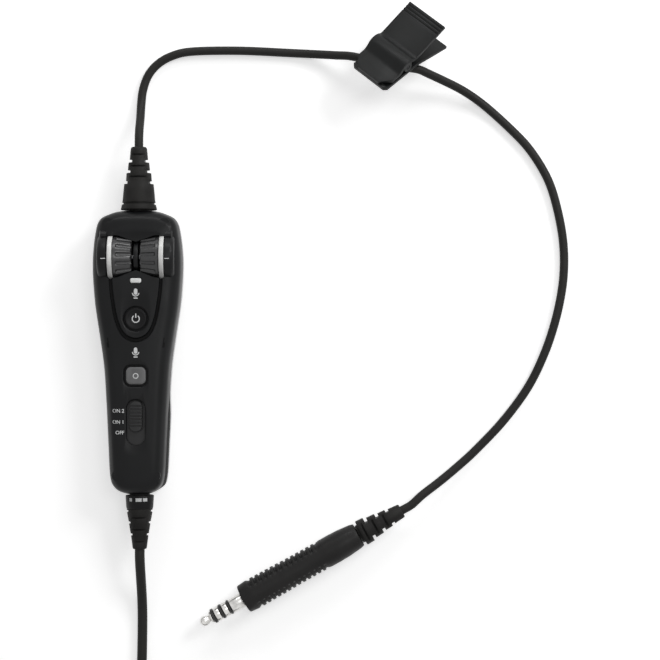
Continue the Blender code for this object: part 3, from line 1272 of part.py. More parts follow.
def make_connector():
    """The headset-side connector: housing, insulator, pins, two jack screws and a strain relief."""
    coil_end = coil_path()[-1]
    middle_z = CONNECTOR_HEIGHT / 2
    axis = make_empty("connector_axis", (CONNECTOR_X, coil_end.y, middle_z))
    half_w, half_h = CONNECTOR_WIDTH / 2, CONNECTOR_HEIGHT / 2 - 0.1
    back = 0.0
    rows = [(back, 0.62), (4.0, 0.9), (8.0, 1.0), (CONNECTOR_LENGTH, 1.0)]
    rings = []
    for x, share in rows:
        outline = rounded_outline(2 * half_w * share, 2 * half_h * (0.5 + share / 2), 2.4)
        rings.append([(x, y, z) for y, z in outline])
    housing = make_object("connector_housing", loft(rings), BLACK_PLASTIC, axis)
    bore = JACK_SCREW_R + SEAT_GAP
    bores = [moved(turned([(9.0, bore), (40, bore)], 12), (0, s * (half_w - 2.7), 0)) for s in (-1, 1)]
    cut(housing, "jack_screw_bores", merged(bores), axis)
    cut(housing, "jack_screw_windows", box((11.0, 16.0), (-30, -half_w + 1.5), (-2.2, 2.2)), axis)
    cut(housing, "jack_screw_window_right", box((11.0, 16.0), (half_w - 1.5, 30), (-2.2, 2.2)), axis)
    face = CONNECTOR_LENGTH + SEAT_GAP
    outline = rounded_outline(11.0, 6.0, 1.0)
    block = loft([[(x, y, z) for y, z in outline] for x in (face, face + 2.6)])
    insulator = make_object("connector_insulator", block, BLACK_PLASTIC, axis)
    for number in range(CONNECTOR_PINS):
        row, column = divmod(number, CONNECTOR_PINS // 2)
        place = (0, (column - 1) * PIN_PITCH, (row - 0.5) * PIN_PITCH)
        pin = turned([(face + 1.0, PIN_R), (face + 6.2, PIN_R), (face + 6.8, PIN_R / 2)], 8)
        make_object("connector_pin_%d" % (number + 1), moved(pin, place), GOLD, axis)
        well = turned([(face + 0.7, PIN_R + SEAT_GAP), (face + 9, PIN_R + SEAT_GAP)], 8)
        cut(insulator, "pin_well_%d" % (number + 1), moved(well, place), axis)
    for name, side in (("jack_screw_left", 1), ("jack_screw_right", -1)):
        tip = CONNECTOR_LENGTH + 4.4
        profile = [(11.3, JACK_SCREW_R), (tip - 0.4, JACK_SCREW_R), (tip, JACK_SCREW_R - 0.4)]
        make_object(name, moved(turned(profile, 12), (0, side * (half_w - 2.7), 0)), STEEL, axis)
    profile = [(-CONNECTOR_RELIEF, 3.1), (-CONNECTOR_RELIEF + 0.4, 3.4), (-7.0, 3.7)]
    profile += [(-1.2, 4.3), (-SEAT_GAP, 4.3)]
    relief = make_object("connector_relief", turned(profile, 16), BLACK_RUBBER, axis)
    slots = relief_slots([(-9.6, 2.9), (-5.4, 2.9)], [(-7.5, 2.9), (-3.4, 3.0)], 0.8, 1.2, 10.0)
    bmesh.ops.rotate(slots, cent=(0, 0, 0), matrix=Matrix.Rotation(-math.pi / 2, 3, "Z"), verts=slots.verts)
    cut(relief, "connector_relief_slots", slots, axis)


def main():
    """Builds the whole cable."""
    clear_scene()
    make_front_shell()
    make_rear_shell()
    make_battery_door()
    make_cells()
    make_board()
    make_buttons()
    make_slider()
    make_status_window()
    make_wheels()
    make_wheel_supports()
    make_case_screws()
    make_upper_relief()
    make_lower_relief()
    make_cords()
    make_coil_tie()
    make_plug()
    make_clip()
    make_connector()


main()
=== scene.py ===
"""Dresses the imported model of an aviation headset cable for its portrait.

The frame holds the cable as it lies on a table: a control module with two volume wheels, a cord with a
garment clip to a four-contact plug, and the cord to the headset, whose spare length is wound into a coil.
Each class below makes one sub-assembly. Sizes are in millimetres in the frame of the part, and MM turns
them into metres.
"""

from __future__ import annotations

import sys

import logging
import math
from dataclasses import dataclass, field
from enum import Enum
from typing import Callable, Iterable, Sequence

import bmesh
import bpy
from mathutils import Matrix, Vector


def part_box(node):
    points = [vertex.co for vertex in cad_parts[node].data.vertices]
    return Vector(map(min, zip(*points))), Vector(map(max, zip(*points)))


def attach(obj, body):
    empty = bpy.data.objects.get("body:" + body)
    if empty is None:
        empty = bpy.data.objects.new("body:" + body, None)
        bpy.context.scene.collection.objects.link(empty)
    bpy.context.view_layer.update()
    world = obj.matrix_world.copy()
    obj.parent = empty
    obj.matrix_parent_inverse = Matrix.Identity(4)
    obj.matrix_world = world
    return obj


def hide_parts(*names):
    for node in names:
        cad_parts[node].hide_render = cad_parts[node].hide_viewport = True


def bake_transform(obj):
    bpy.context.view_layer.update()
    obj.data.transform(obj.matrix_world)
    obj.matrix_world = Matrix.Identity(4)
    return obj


LOG = logging.getLogger("headset_cable")
MM = 0.001
# The play between two pieces that fit together.
FIT_GAP = 0.3
# The height at which both cords leave the module, where its shells part.
CORD_Z = 12.5
UPPER_RELIEF = (0.4, 66.7, CORD_Z)
LOWER_RELIEF = (0.8, -71.1, CORD_Z)
# The wheels' axle, and the middles of what is on the face.
WHEEL_AXLE = (43.7, 17.3)
POWER_AT = (0.0, 14.05)
FUNCTION_AT = (0.0, -13.2)
SLOT_AT = (0.0, -35.55)
LIGHT_AT = (0.0, 32.3)
# The front face of the plug's handle, and the turn of the plug's axis.
PLUG_FRONT = (50.9, -122.1, 7.9)
PLUG_TURN = math.radians(29.3)
Point = tuple[float, float, float]
Flat = tuple[float, float]
Colour = tuple[float, float, float]
Pairs = Sequence[Flat]
Growing = Callable[[float], Pairs]
Piece = bpy.types.Object
Socket = bpy.types.NodeSocket

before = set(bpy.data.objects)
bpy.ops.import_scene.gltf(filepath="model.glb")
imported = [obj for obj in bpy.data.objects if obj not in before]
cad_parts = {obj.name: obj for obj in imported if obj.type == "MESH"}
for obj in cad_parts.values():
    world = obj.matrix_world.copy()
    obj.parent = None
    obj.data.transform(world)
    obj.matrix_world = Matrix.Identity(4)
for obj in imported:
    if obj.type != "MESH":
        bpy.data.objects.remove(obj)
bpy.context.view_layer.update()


class Slot(Enum):
    """The record's material slots, passed with each new piece and not used."""

    CASING = "casing"
    RUBBER = "rubber"
    CORD = "cord_jacket"
    WHITE = "white_plastic"
    KEY = "grey_key"
    CLIP = "clip_plastic"
    INSULATOR = "plug_insulator"
    CONTACT = "contact_metal"
    STEEL = "steel"


class Side(Enum):
    """The two sides of a piece, by the sign of their place across it."""

    LEFT = -1
    RIGHT = 1

    def span(self, near: float, far: float) -> list[float]:
        """A stretch on this side of the middle, from low to high."""
        return sorted((self.value * near, self.value * far))


# Finishes


def add_node(tree: bpy.types.NodeTree, kind: str, values: dict[str | int, object]) -> bpy.types.ShaderNode:
    """Adds a node to a tree.

    Args:
        tree: The tree.
        kind: The node's type, without the ShaderNode in front.
        values: What its inputs are set to, or the sockets that lead into them.

    Returns:
        The node.
    """
    node = tree.nodes.new("ShaderNode" + kind)
    for name, value in values.items():
        if isinstance(value, Socket):
            tree.links.new(value, node.inputs[name])
        else:
            node.inputs[name].default_value = value
    return node


class NodeBoard:
    """The node tree of one material, wired a step at a time."""

    def __init__(self, name: str, colour: Colour, roughness: float, metallic: float) -> None:
        """Starts a material on its main shader.

        Args:
            name: The material's name.
            colour: Its plain colour, linear.
            roughness: Its plain roughness.
            metallic: 1 for a bare metal.
        """
        self.material = bpy.data.materials.new(name)
        self.material.use_nodes = True
        self.tree = self.material.node_tree
        self.shader = self.tree.nodes["Principled BSDF"]
        self.set("Base Color", (*colour, 1.0))
        self.set("Roughness", roughness)
        self.set("Metallic", metallic)
        self.place = self.tree.nodes.new("ShaderNodeTexCoord").outputs["Object"]

    def set(self, target: str, value: object) -> None:
        """Sets the shader's socket of that name."""
        self.shader.inputs[target].default_value = value

    def link(self, source: Socket, target: str) -> None:
        """Leads a socket into the shader's socket of that name."""
        self.tree.links.new(source, self.shader.inputs[target])

    def mapped(self, stretch: Point, turn: Point = (0, 0, 0), origin: Point = (0, 0, 0)) -> Socket:
        """Stretches and turns the pattern space.

        Args:
            stretch: Scale along the pattern's own axes.
            turn: Euler angles of the pattern's axes, in radians.
            origin: The pattern's origin, in metres.

        Returns:
            The mapped coordinates.
        """
        scale = tuple(1.0 / s for s in stretch)
        values = {"Location": origin, "Rotation": turn, "Scale": scale}
        node = add_node(self.tree, "Mapping", values)
        node.vector_type = "TEXTURE"
        self.tree.links.new(self.place, node.inputs["Vector"])
        return node.outputs["Vector"]

    def noise(self, size: float, detail: float = 3.0, stretch: Point = (1, 1, 1)) -> Socket:
        """A cloud pattern.

        Args:
            size: Width of one cloud in millimetres.
            detail: How many finer layers it holds.
            stretch: Scale of the pattern along X, Y and Z.

        Returns:
            The pattern, about 0.3 to 0.7.
        """
        vector = self.place if stretch == (1, 1, 1) else self.mapped(stretch)
        values = {"Scale": 1.0 / (size * MM), "Detail": detail, "Vector": vector}
        return add_node(self.tree, "TexNoise", values).outputs["Fac"]

    def spread(self, source: Socket, low: Flat, high: Flat) -> Socket:
        """Maps a pattern, from a low and a high value to what each becomes, held at both ends."""
        values = {"From Min": low[0], "To Min": low[1], "From Max": high[0], "To Max": high[1]}
        return add_node(self.tree, "MapRange", {**values, "Value": source}).outputs["Result"]

    def blend(self, share: Socket, first: Colour | Socket, second: Colour) -> Socket:
        """Mixes two colours by a pattern.

        Args:
            share: 0 where the first colour shows and 1 where the second does.
            first: A colour, or the socket of one.
            second: The other colour.

        Returns:
            The mixed colour.
        """
        node = self.tree.nodes.new("ShaderNodeMix")
        node.data_type = "RGBA"
        self.tree.links.new(share, node.inputs["Factor"])
        if isinstance(first, tuple):
            node.inputs[6].default_value = (*first, 1.0)
        else:
            self.tree.links.new(first, node.inputs[6])
        node.inputs[7].default_value = (*second, 1.0)
        return node.outputs[2]

    def tint(self, share: Socket, first: Colour | Socket, second: Colour) -> None:
        """Makes a blend of two colours the surface's colour."""
        self.link(self.blend(share, first, second), "Base Color")

    def dull(self, source: Socket, low: Flat, high: Flat) -> None:
        """Makes a pattern, spread over a span of values, the surface's roughness."""
        self.link(self.spread(source, low, high), "Roughness")

    def bump(self, heights: Iterable[tuple[Socket, float]]) -> None:
        """Raises the surface by patterns, one on top of the other.

        Args:
            heights: Pairs of a pattern and its height in millimetres.
        """
        below = {}
        for source, height in heights:
            node = add_node(self.tree, "Bump", {"Distance": height * MM, "Height": source, **below})
            below = {"Normal": node.outputs["Normal"]}
        self.link(below["Normal"], "Normal")


@dataclass(frozen=True)
class Finish:
    """What every finish has: a name, a colour and a roughness."""

    name: str
    colour: Colour
    roughness: float

    def material(self) -> bpy.types.Material:
        """Gives the finish's material, made once."""
        made = bpy.data.materials.get(self.name)
        if made is None:
            board = NodeBoard(self.name, self.colour, self.roughness, self.metallic)
            self.wire(board)
            made = board.material
        return made

    @property
    def metallic(self) -> float:
        """1 for a bare metal, else 0."""
        return 0.0

    def wire(self, board: NodeBoard) -> None:
        """Adds the finish's detail to its node tree."""
        raise NotImplementedError

    def shade(self, share: float) -> Colour:
        """The finish's colour, darker or lighter by a share."""
        return tuple(min(1.0, c * share) for c in self.colour)


@dataclass(frozen=True)
class MouldedPlastic(Finish):
    """Injection-moulded plastic: a fine etched grain, faint flow marks and a little handling polish."""

    grain: float = 0.012
    mottle: float = 0.16
    gloss: float = 0.14

    def wire(self, board: NodeBoard) -> None:
        """Adds mottle, polish and grain."""
        board.set("Specular IOR Level", self.gloss)
        flow = board.spread(board.noise(9.0, 4.0, (1.0, 0.45, 1.0)), (0.35, 0.0), (0.65, 1.0))
        board.tint(flow, self.shade(1 - self.mottle), self.shade(1 + self.mottle))
        board.dull(board.noise(14.0, 5.0), (0.35, self.roughness - 0.05), (0.65, self.roughness + 0.06))
        board.bump([(board.noise(0.22, 2.0), self.grain), (board.noise(1.6, 3.0), self.grain * 0.8)])


@dataclass(frozen=True)
class SoftRubber(Finish):
    """Moulded rubber: matt, with a dry bloom and specks of dust in it."""

    bloom: float = 0.35
    grain: float = 0.02
    gloss: float = 0.12

    def wire(self, board: NodeBoard) -> None:
        """Adds bloom, dust and grain."""
        board.set("Specular IOR Level", self.gloss)
        cloud = board.noise(7.0, 6.0)
        dry = board.spread(cloud, (0.35, 0.0), (0.68, 1.0))
        body = board.blend(dry, self.shade(1 - 0.5 * self.bloom), self.shade(1 + self.bloom))
        dust = board.spread(board.noise(0.5, 2.0), (0.68, 0.0), (0.78, 0.35))
        board.tint(dust, body, self.shade(3.2))
        board.dull(cloud, (0.35, self.roughness + 0.05), (0.68, self.roughness - 0.07))
        board.bump([(board.noise(0.3, 3.0), self.grain), (board.noise(2.4, 3.0), self.grain * 1.5)])


@dataclass(frozen=True)
class ExtrudedJacket(Finish):
    """A cord's jacket: satin, drawn smooth, with slow waves in its gloss and small dull spots."""

    gloss: float = 0.15

    def wire(self, board: NodeBoard) -> None:
        """Adds waves of gloss, spots and a drawn surface."""
        board.set("Specular IOR Level", self.gloss)
        wave = board.noise(16.0, 4.0)
        body = board.blend(board.spread(wave, (0.35, 0.0), (0.65, 1.0)), self.shade(0.82), self.shade(1.2))
        spots = board.spread(board.noise(1.1, 2.0), (0.64, 0.0), (0.74, 0.4))
        board.tint(spots, body, self.shade(1.7))
        board.dull(wave, (0.35, self.roughness - 0.06), (0.65, self.roughness + 0.08))
        board.bump([(board.noise(0.6, 2.0), 0.012), (board.noise(5.0, 2.0), 0.05)])


@dataclass(frozen=True)
class GlossPlastic(Finish):
    """Polished plastic, white on the wheel bands and the light window, with a trace of handling."""

    def wire(self, board: NodeBoard) -> None:
        """Adds smudges and a faint ripple."""
        smudge = board.noise(3.5, 4.0)
        board.tint(board.spread(smudge, (0.5, 0.0), (0.75, 1.0)), self.colour, self.shade(0.86))
        board.dull(smudge, (0.35, self.roughness), (0.7, self.roughness + 0.15))
        board.bump([(board.noise(1.4, 2.0), 0.006)])


@dataclass(frozen=True)
class TurnedMetal(Finish):
    """Plated metal off a lathe: fine turning lines square to its axis, and a little uneven wear."""

    axis_turn: float = 0.0
    origin: Point = (0.0, 0.0, 0.0)
    pitch: float = 0.16
    wear: float = 0.14

    @property
    def metallic(self) -> float:
        """A bare metal."""
        return 1.0

    def wire(self, board: NodeBoard) -> None:
        """Adds turning lines, tarnish and wear."""
        space = board.mapped((1, 1, 1), (0, 0, self.axis_turn), tuple(c * MM for c in self.origin))
        values = {"Scale": 0.314 / (self.pitch * MM), "Distortion": 1.2, "Detail": 2.0, "Vector": space}
        wave = add_node(board.tree, "TexWave", values)
        tarnish = board.noise(2.6, 5.0)
        board.tint(board.spread(tarnish, (0.42, 0.0), (0.7, 1.0)), self.colour, self.shade(0.72))
        board.dull(tarnish, (0.35, self.roughness), (0.7, self.roughness + self.wear))
        board.bump([(wave.outputs["Fac"], 0.004), (board.noise(0.8, 2.0), 0.004)])


@dataclass(frozen=True)
class PrintInk(Finish):
    """Pad-printed ink, a little thin and broken at its edges."""

    def wire(self, board: NodeBoard) -> None:
        """Adds uneven cover."""
        cover = board.spread(board.noise(0.45, 3.0), (0.5, 0.0), (0.72, 1.0))
        board.tint(cover, self.colour, self.shade(0.7))
        board.bump([(board.noise(0.2, 2.0), 0.006)])


@dataclass(frozen=True)
class CellCan(Finish):
    """A battery's printed can: a dark body, a copper-coloured end and light scuffs."""

    band_y: float = 20.0
    towards: int = 1
    band_colour: Colour = (0.42, 0.32, 0.16)
    scuff_colour: Colour = (0.3, 0.3, 0.3)

    def wire(self, board: NodeBoard) -> None:
        """Adds the band along Y and light scuffs."""
        split = add_node(board.tree, "SeparateXYZ", {0: board.place})
        near, far = (self.band_y - 0.2 * self.towards) * MM, (self.band_y + 0.2 * self.towards) * MM
        band = board.spread(split.outputs["Y"], (near, 0.0), (far, 1.0))
        scuff = board.spread(board.noise(1.2, 4.0, (1, 0.3, 1)), (0.6, 0.0), (0.8, 0.5))
        board.tint(scuff, board.blend(band, self.colour, self.band_colour), self.scuff_colour)
        board.dull(board.noise(4.0), (0.3, self.roughness), (0.7, self.roughness + 0.2))


@dataclass(frozen=True)
class BoardLacquer(Finish):
    """A circuit board's green lacquer over copper tracks, with bare pads."""

    brick: tuple[tuple[str, float], ...] = (("Brick Width", 5.2), ("Row Height", 1.4), ("Mortar Size", 0.22))
    pad_pitch: float = 4.0
    track_colour: Colour = (0.05, 0.26, 0.1)
    pad_colour: Colour = (0.6, 0.55, 0.42)

    def wire(self, board: NodeBoard) -> None:
        """Adds tracks and pads."""
        values = {name: size * MM for name, size in self.brick}
        values |= {"Scale": 1.0, "Mortar Smooth": 0.1, "Vector": board.place}
        tracks = add_node(board.tree, "TexBrick", values).outputs["Fac"]
        values = {"Scale": 1.0 / (self.pad_pitch * MM), "Vector": board.place}
        pads = add_node(board.tree, "TexVoronoi", values)
        lacquer = board.blend(tracks, self.colour, self.track_colour)
        dots = board.spread(pads.outputs["Distance"], (0.1, 1.0), (0.13, 0.0))
        board.tint(dots, lacquer, self.pad_colour)
        board.bump([(tracks, 0.03)])


CASE_BLACK = MouldedPlastic("case_black", (0.0066, 0.0069, 0.0074), 0.34, grain=0.008, gloss=0.16)
# Painted shade: a near-black for the faces inside the button holes, the slot and the groove, darker than the
# case so that these recesses read as shaded.
WELL_PAINTED_SHADE = MouldedPlastic("well_painted_shade", (0.0015, 0.0015, 0.0016), 0.6, grain=0.010, gloss=0.1)
REAR_GLOSS = MouldedPlastic("rear_gloss", (0.0072, 0.0075, 0.0080), 0.14, grain=0.003, gloss=0.7)
KNOB_BLACK = MouldedPlastic("knob_black", (0.014, 0.014, 0.0145), 0.34, grain=0.012, gloss=0.3)
# The black of the power key and the relief collar; it also paints shade on the function key's flange, in the
# gap round that key.
KEY_BLACK_AND_PAINTED_SHADE = MouldedPlastic("key_black_and_painted_shade", (0.005, 0.005, 0.0055), 0.42, grain=0.012)
KEY_GREY = MouldedPlastic("key_grey", (0.17, 0.17, 0.172), 0.45, grain=0.014)
CLIP_BLACK = MouldedPlastic("clip_black", (0.0068, 0.0074, 0.0074), 0.4, grain=0.012, gloss=0.18)
WHEEL_RUBBER = SoftRubber("wheel_rubber", (0.026, 0.026, 0.027), 0.27, gloss=0.55, bloom=0.15, grain=0.002)
RELIEF_RUBBER = SoftRubber("relief_rubber", (0.016, 0.0155, 0.0148), 0.58)
HANDLE_RUBBER = SoftRubber("handle_rubber", (0.0115, 0.011, 0.0108), 0.46, bloom=0.25, gloss=0.18)
STRAP_FABRIC = SoftRubber("strap_fabric", (0.012, 0.012, 0.013), 0.85, bloom=0.5, grain=0.06)
CORD_BLACK = ExtrudedJacket("cord_black", (0.0185, 0.0180, 0.0168), 0.48)
BAND_WHITE = GlossPlastic("band_white", (0.80, 0.80, 0.785), 0.22)
WINDOW_WHITE = GlossPlastic("window_white", (0.84, 0.85, 0.84), 0.3)
COLLAR_BLACK = GlossPlastic("collar_black", (0.006, 0.006, 0.006), 0.25)
# White ink for the printed signs, labels and ticks; the same white also paints the glints on the relief
# collar.
INK_WHITE_AND_PAINTED_GLINT = PrintInk("ink_white_and_painted_glint", (0.74, 0.75, 0.75), 0.5)
NICKEL = TurnedMetal("nickel_plate", (0.70, 0.69, 0.67), 0.17, axis_turn=PLUG_TURN, origin=PLUG_FRONT)
STEEL = TurnedMetal("bright_steel", (0.52, 0.53, 0.54), 0.26, wear=0.2)
DARK_STEEL = TurnedMetal("blackened_steel", (0.045, 0.045, 0.048), 0.38, wear=0.15)
GOLD = TurnedMetal("gold_plate", (0.83, 0.60, 0.24), 0.2)
BOARD_GREEN = BoardLacquer("board_green", (0.012, 0.10, 0.04), 0.35)
CELL_LEFT = CellCan("cell_can_left", (0.02, 0.024, 0.03), 0.3, band_y=-8.0, towards=-1)
CELL_RIGHT = CellCan("cell_can_right", (0.02, 0.024, 0.03), 0.3, band_y=17.0, towards=1)


# Modelling steps


def smooth_line(points: Sequence[Sequence[float]], per_span: int) -> list[Vector]:
    """Reads points from a smooth curve through the given ones.

    Args:
        points: What the curve goes through.
        per_span: How many points each span gets.

    Returns:
        The points of the curve, both ends included.
    """
    knots = [Vector(p) for p in points]
    knots = [2 * knots[0] - knots[1], *knots, 2 * knots[-1] - knots[-2]]
    line = []
    for a, b, c, d in zip(knots, knots[1:], knots[2:], knots[3:]):
        for i in range(per_span):
            t = i / per_span
            square, cube = 2 * a - 5 * b + 4 * c - d, 3 * b - a - 3 * c + d
            line.append(0.5 * (2 * b + (c - a) * t + square * t**2 + cube * t**3))
    line.append(knots[-2])
    return line


def line_length(points: Sequence[Vector]) -> float:
    """The length of a line through points."""
    return sum((b - a).length for a, b in zip(points, points[1:]))


def even_line(points: Sequence[Vector], spacing: float) -> list[Vector]:
    """Reads a line again at even steps.

    Args:
        points: The line.
        spacing: The step wanted, in the line's unit.

    Returns:
        Points at even steps, both ends included.
    """
    count = max(2, round(line_length(points) / spacing))
    step = line_length(points) / count
    even, left = [points[0].copy()], step
    for a, b in zip(points, points[1:]):
        span, done = (b - a).length, 0.0
        while span - done >= left and len(even) < count:
            done += left
            even.append(a.lerp(b, done / span))
            left = step
        left -= span - done
    even.append(points[-1].copy())
    return even


def eased(share: float) -> float:
    """A share held between 0 and 1, with a soft start and a soft end."""
    held = min(max(share, 0.0), 1.0)
    return held * held * (3 - 2 * held)


def arc(centre: Flat, radius: float, start: float, end: float, steps: int) -> list[Flat]:
    """Points on a circle from one angle to another, both included."""
    turns = [start + (end - start) * i / steps for i in range(steps + 1)]
    return [(centre[0] + radius * math.cos(t), centre[1] + radius * math.sin(t)) for t in turns]


def disc(radius: float, centre: Flat = (0.0, 0.0), count: int = 48) -> list[Flat]:
    """The outline of a disc, turning left."""
    return arc(centre, radius, 0.0, math.tau, count)[:-1]


def rounded_oblong(
    width: float, length: float, corner: float, centre: Flat = (0.0, 0.0), steps: int = 8
) -> list[Flat]:
    """A rectangle with round corners.

    Args:
        width: Its size along X.
        length: Its size along Y.
        corner: The radius of its corners.
        centre: Its middle.
        steps: Spans in each corner.

    Returns:
        Its outline, turning left.
    """
    outline = []
    for quarter, (sx, sy) in enumerate(((1, 1), (-1, 1), (-1, -1), (1, -1))):
        cx = centre[0] + sx * (width / 2 - corner)
        cy = centre[1] + sy * (length / 2 - corner)
        for i in range(steps + 1):
            t = math.pi / 2 * (quarter + i / steps)
            outline.append((cx + corner * math.cos(t), cy + corner * math.sin(t)))
    return outline


def growing_oblong(width: float, length: float, corner: float, centre: Flat = (0.0, 0.0)) -> Growing:
    """A rounded oblong's outline, to be grown by a distance on every side."""
    return lambda more: rounded_oblong(width + 2 * more, length + 2 * more, corner + more, centre)


class Bench:
    """The modelling steps, each done to one piece at a time."""

    @staticmethod
    def pick(piece: Piece) -> None:
        """Selects one piece alone.

        Args:
            piece: The piece.
        """
        bpy.ops.object.select_all(action="DESELECT")
        piece.select_set(True)
        bpy.context.view_layer.objects.active = piece

    @classmethod
    def pulled(cls, name: str, rings: Sequence[Sequence[Sequence[float]]], hoop: bool = False) -> Piece:
        """Adds a disc in the first ring's shape and pulls it through the others, an extrusion for each.

        Args:
            name: The piece's name.
            rings: Rings of equally many points, in millimetres.
            hoop: Whether the last ring is bridged to the first, as on a ring with a hole.

        Returns:
            The closed piece.
        """
        bpy.ops.object.select_all(action="DESELECT")
        bpy.ops.mesh.primitive_circle_add(vertices=len(rings[0]), radius=0.01, fill_type="NGON")
        piece = bpy.context.active_object
        piece.name = name
        piece.data.name = name
        for vertex, point in zip(piece.data.vertices, rings[0]):
            vertex.co = Vector(point) * MM
        bpy.ops.object.mode_set(mode="EDIT")
        mesh = bmesh.from_edit_mesh(piece.data)
        order = mesh.verts.layers.int.new("order")
        for number, vertex in enumerate(mesh.verts):
            vertex[order] = number
        bpy.ops.mesh.select_all(action="SELECT")
        for ring in rings[1:]:
            bpy.ops.mesh.extrude_region_move()
            mesh = bmesh.from_edit_mesh(piece.data)
            order = mesh.verts.layers.int["order"]
            for vertex in mesh.verts:
                if vertex.select:
                    vertex.co = Vector(ring[vertex[order]]) * MM
            bmesh.update_edit_mesh(piece.data)
        if hoop:
            cls.bridge_ends(piece, len(rings[0]))
        bpy.ops.mesh.select_all(action="SELECT")
        bpy.ops.mesh.remove_doubles(threshold=1e-6)
        bpy.ops.mesh.normals_make_consistent(inside=False)
        bpy.ops.object.mode_set(mode="OBJECT")
        return piece

    @staticmethod
    def bridge_ends(piece: Piece, count: int) -> None:
        """Opens a pulled piece's two end faces and bridges them, in edit mode.

        Args:
            piece: The piece in edit mode.
            count: How many corners an end face has.
        """
        bpy.ops.mesh.select_mode(type="FACE")
        bpy.ops.mesh.select_all(action="DESELECT")
        mesh = bmesh.from_edit_mesh(piece.data)
        for face in mesh.faces:
            face.select_set(len(face.verts) == count and count > 4)
        bmesh.update_edit_mesh(piece.data)
        bpy.ops.mesh.delete(type="ONLY_FACE")
        bpy.ops.mesh.select_mode(type="EDGE")
        bpy.ops.mesh.select_all(action="DESELECT")
        mesh = bmesh.from_edit_mesh(piece.data)
        for edge in mesh.edges:
            edge.select_set(edge.is_boundary)
        bmesh.update_edit_mesh(piece.data)
        bpy.ops.mesh.bridge_edge_loops()
        bpy.ops.mesh.select_mode(type="VERT")

    @classmethod
    def slab(cls, name: str, outline: Pairs, low: float, high: float) -> Piece:
        """An outline in X and Y pulled up between two heights."""
        return cls.pulled(name, [[(x, y, z) for x, y in outline] for z in (low, high)])

    @classmethod
    def stacked(cls, name: str, outline: Growing, rows: Pairs) -> Piece:
        """Pulls an outline in X and Y up through pairs of a height and the distance it has grown by."""
        return cls.pulled(name, [[(x, y, z) for x, y in outline(size)] for z, size in rows])

    @classmethod
    def crossbar(cls, name: str, section: Pairs, low: float, high: float) -> Piece:
        """A section in Y and Z pulled across between two places on X."""
        return cls.pulled(name, [[(x, y, z) for y, z in section] for x in (low, high)])

    @classmethod
    def strip(cls, name: str, span: Flat, side: Flat, half: float, steps: int) -> Piece:
        """A flat strip along X, in short stretches so that it can follow a curved ground.

        Args:
            name: The piece's name.
            span: Its two ends on X.
            side: Its two sides on Y, the upper one first.
            half: Half its thickness.
            steps: How many stretches it has.

        Returns:
            The strip, level with the table.
        """
        section = [(y, z) for z, pair in ((half, side), (-half, side[::-1])) for y in pair]
        low, high = span
        places = [low + (high - low) * i / steps for i in range(steps + 1)]
        return cls.pulled(name, [[(x, y, z) for y, z in section] for x in places])

    @classmethod
    def turned(cls, name: str, profile: Pairs, count: int = 48, hoop: bool = False) -> Piece:
        """A turned piece about X.

        Args:
            name: The piece's name.
            profile: Pairs of a place along X and a radius.
            count: Points around.
            hoop: Whether the profile is a closed loop round a hole.

        Returns:
            The piece.
        """
        steps = [math.tau * i / count for i in range(count)]
        rings = [[(x, r * math.cos(t), r * math.sin(t)) for t in steps] for x, r in profile]
        return cls.pulled(name, rings, hoop)

    @staticmethod
    def block(name: str, low: Point, high: Point) -> Piece:
        """A cube primitive at its size and place.

        Args:
            name: The piece's name.
            low: One corner, in millimetres.
            high: The corner across from it.

        Returns:
            The block.
        """
        bpy.ops.object.select_all(action="DESELECT")
        middle = [(a + b) / 2 * MM for a, b in zip(low, high)]
        bpy.ops.mesh.primitive_cube_add(size=1.0, location=middle)
        piece = bpy.context.active_object
        piece.name = name
        piece.scale = [abs(b - a) * MM for a, b in zip(low, high)]
        bpy.ops.object.transform_apply(location=True, rotation=True, scale=True)
        return piece

    @classmethod
    def placed(cls, piece: Piece, place: Matrix) -> Piece:
        """Moves a piece and applies the move to its mesh.

        Args:
            piece: The piece, with its object at the origin.
            place: Where it goes, in millimetres.

        Returns:
            The piece.
        """
        cls.pick(piece)
        matrix = place.copy()
        matrix.translation = place.translation * MM
        piece.matrix_world = matrix
        bpy.ops.object.transform_apply(location=True, rotation=True, scale=True)
        return piece

    @classmethod
    def apply(cls, piece: Piece, modifier: bpy.types.Modifier) -> None:
        """Applies a modifier."""
        cls.pick(piece)
        bpy.ops.object.modifier_apply(modifier=modifier.name)

    @classmethod
    def boolean(cls, piece: Piece, tools: Iterable[Piece], operation: str) -> Piece:
        """Cuts or joins tools, which are used up.

        Args:
            piece: What is worked on.
            tools: The pieces that cut or join.
            operation: DIFFERENCE, UNION or INTERSECT.

        Returns:
            The piece.
        """
        for tool in tools:
            modifier = piece.modifiers.new("tool", "BOOLEAN")
            modifier.operation = operation
            modifier.solver = "EXACT"
            modifier.object = tool
            cls.apply(piece, modifier)
            bpy.data.objects.remove(tool, do_unlink=True)
        return piece

    @classmethod
    def softened(cls, piece: Piece, width: float, steps: int = 2, angle: float = 40.0) -> Piece:
        """Rounds every edge sharper than an angle.

        Args:
            piece: The piece.
            width: The rounding's width in millimetres.
            steps: Its segments.
            angle: The least angle in degrees.

        Returns:
            The piece.
        """
        modifier = piece.modifiers.new("soften", "BEVEL")
        modifier.width = width * MM
        modifier.segments = steps
        modifier.limit_method = "ANGLE"
        modifier.angle_limit = math.radians(angle)
        cls.apply(piece, modifier)
        return piece

    @staticmethod
    def laid_on(piece: Piece, ground: Piece) -> Piece:
        """Drops a thin flat piece onto another, a vertex at a time.

        Args:
            piece: The flat piece, level with the table.
            ground: What it comes to lie on.

        Returns:
            The flat piece.
        """
        bpy.context.view_layer.update()
        for vertex in piece.data.vertices:
            hit, spot, _, _ = ground.ray_cast((vertex.co.x, vertex.co.y, 0.1), (0, 0, -1))
            if hit:
                vertex.co.z += spot.z
        return piece

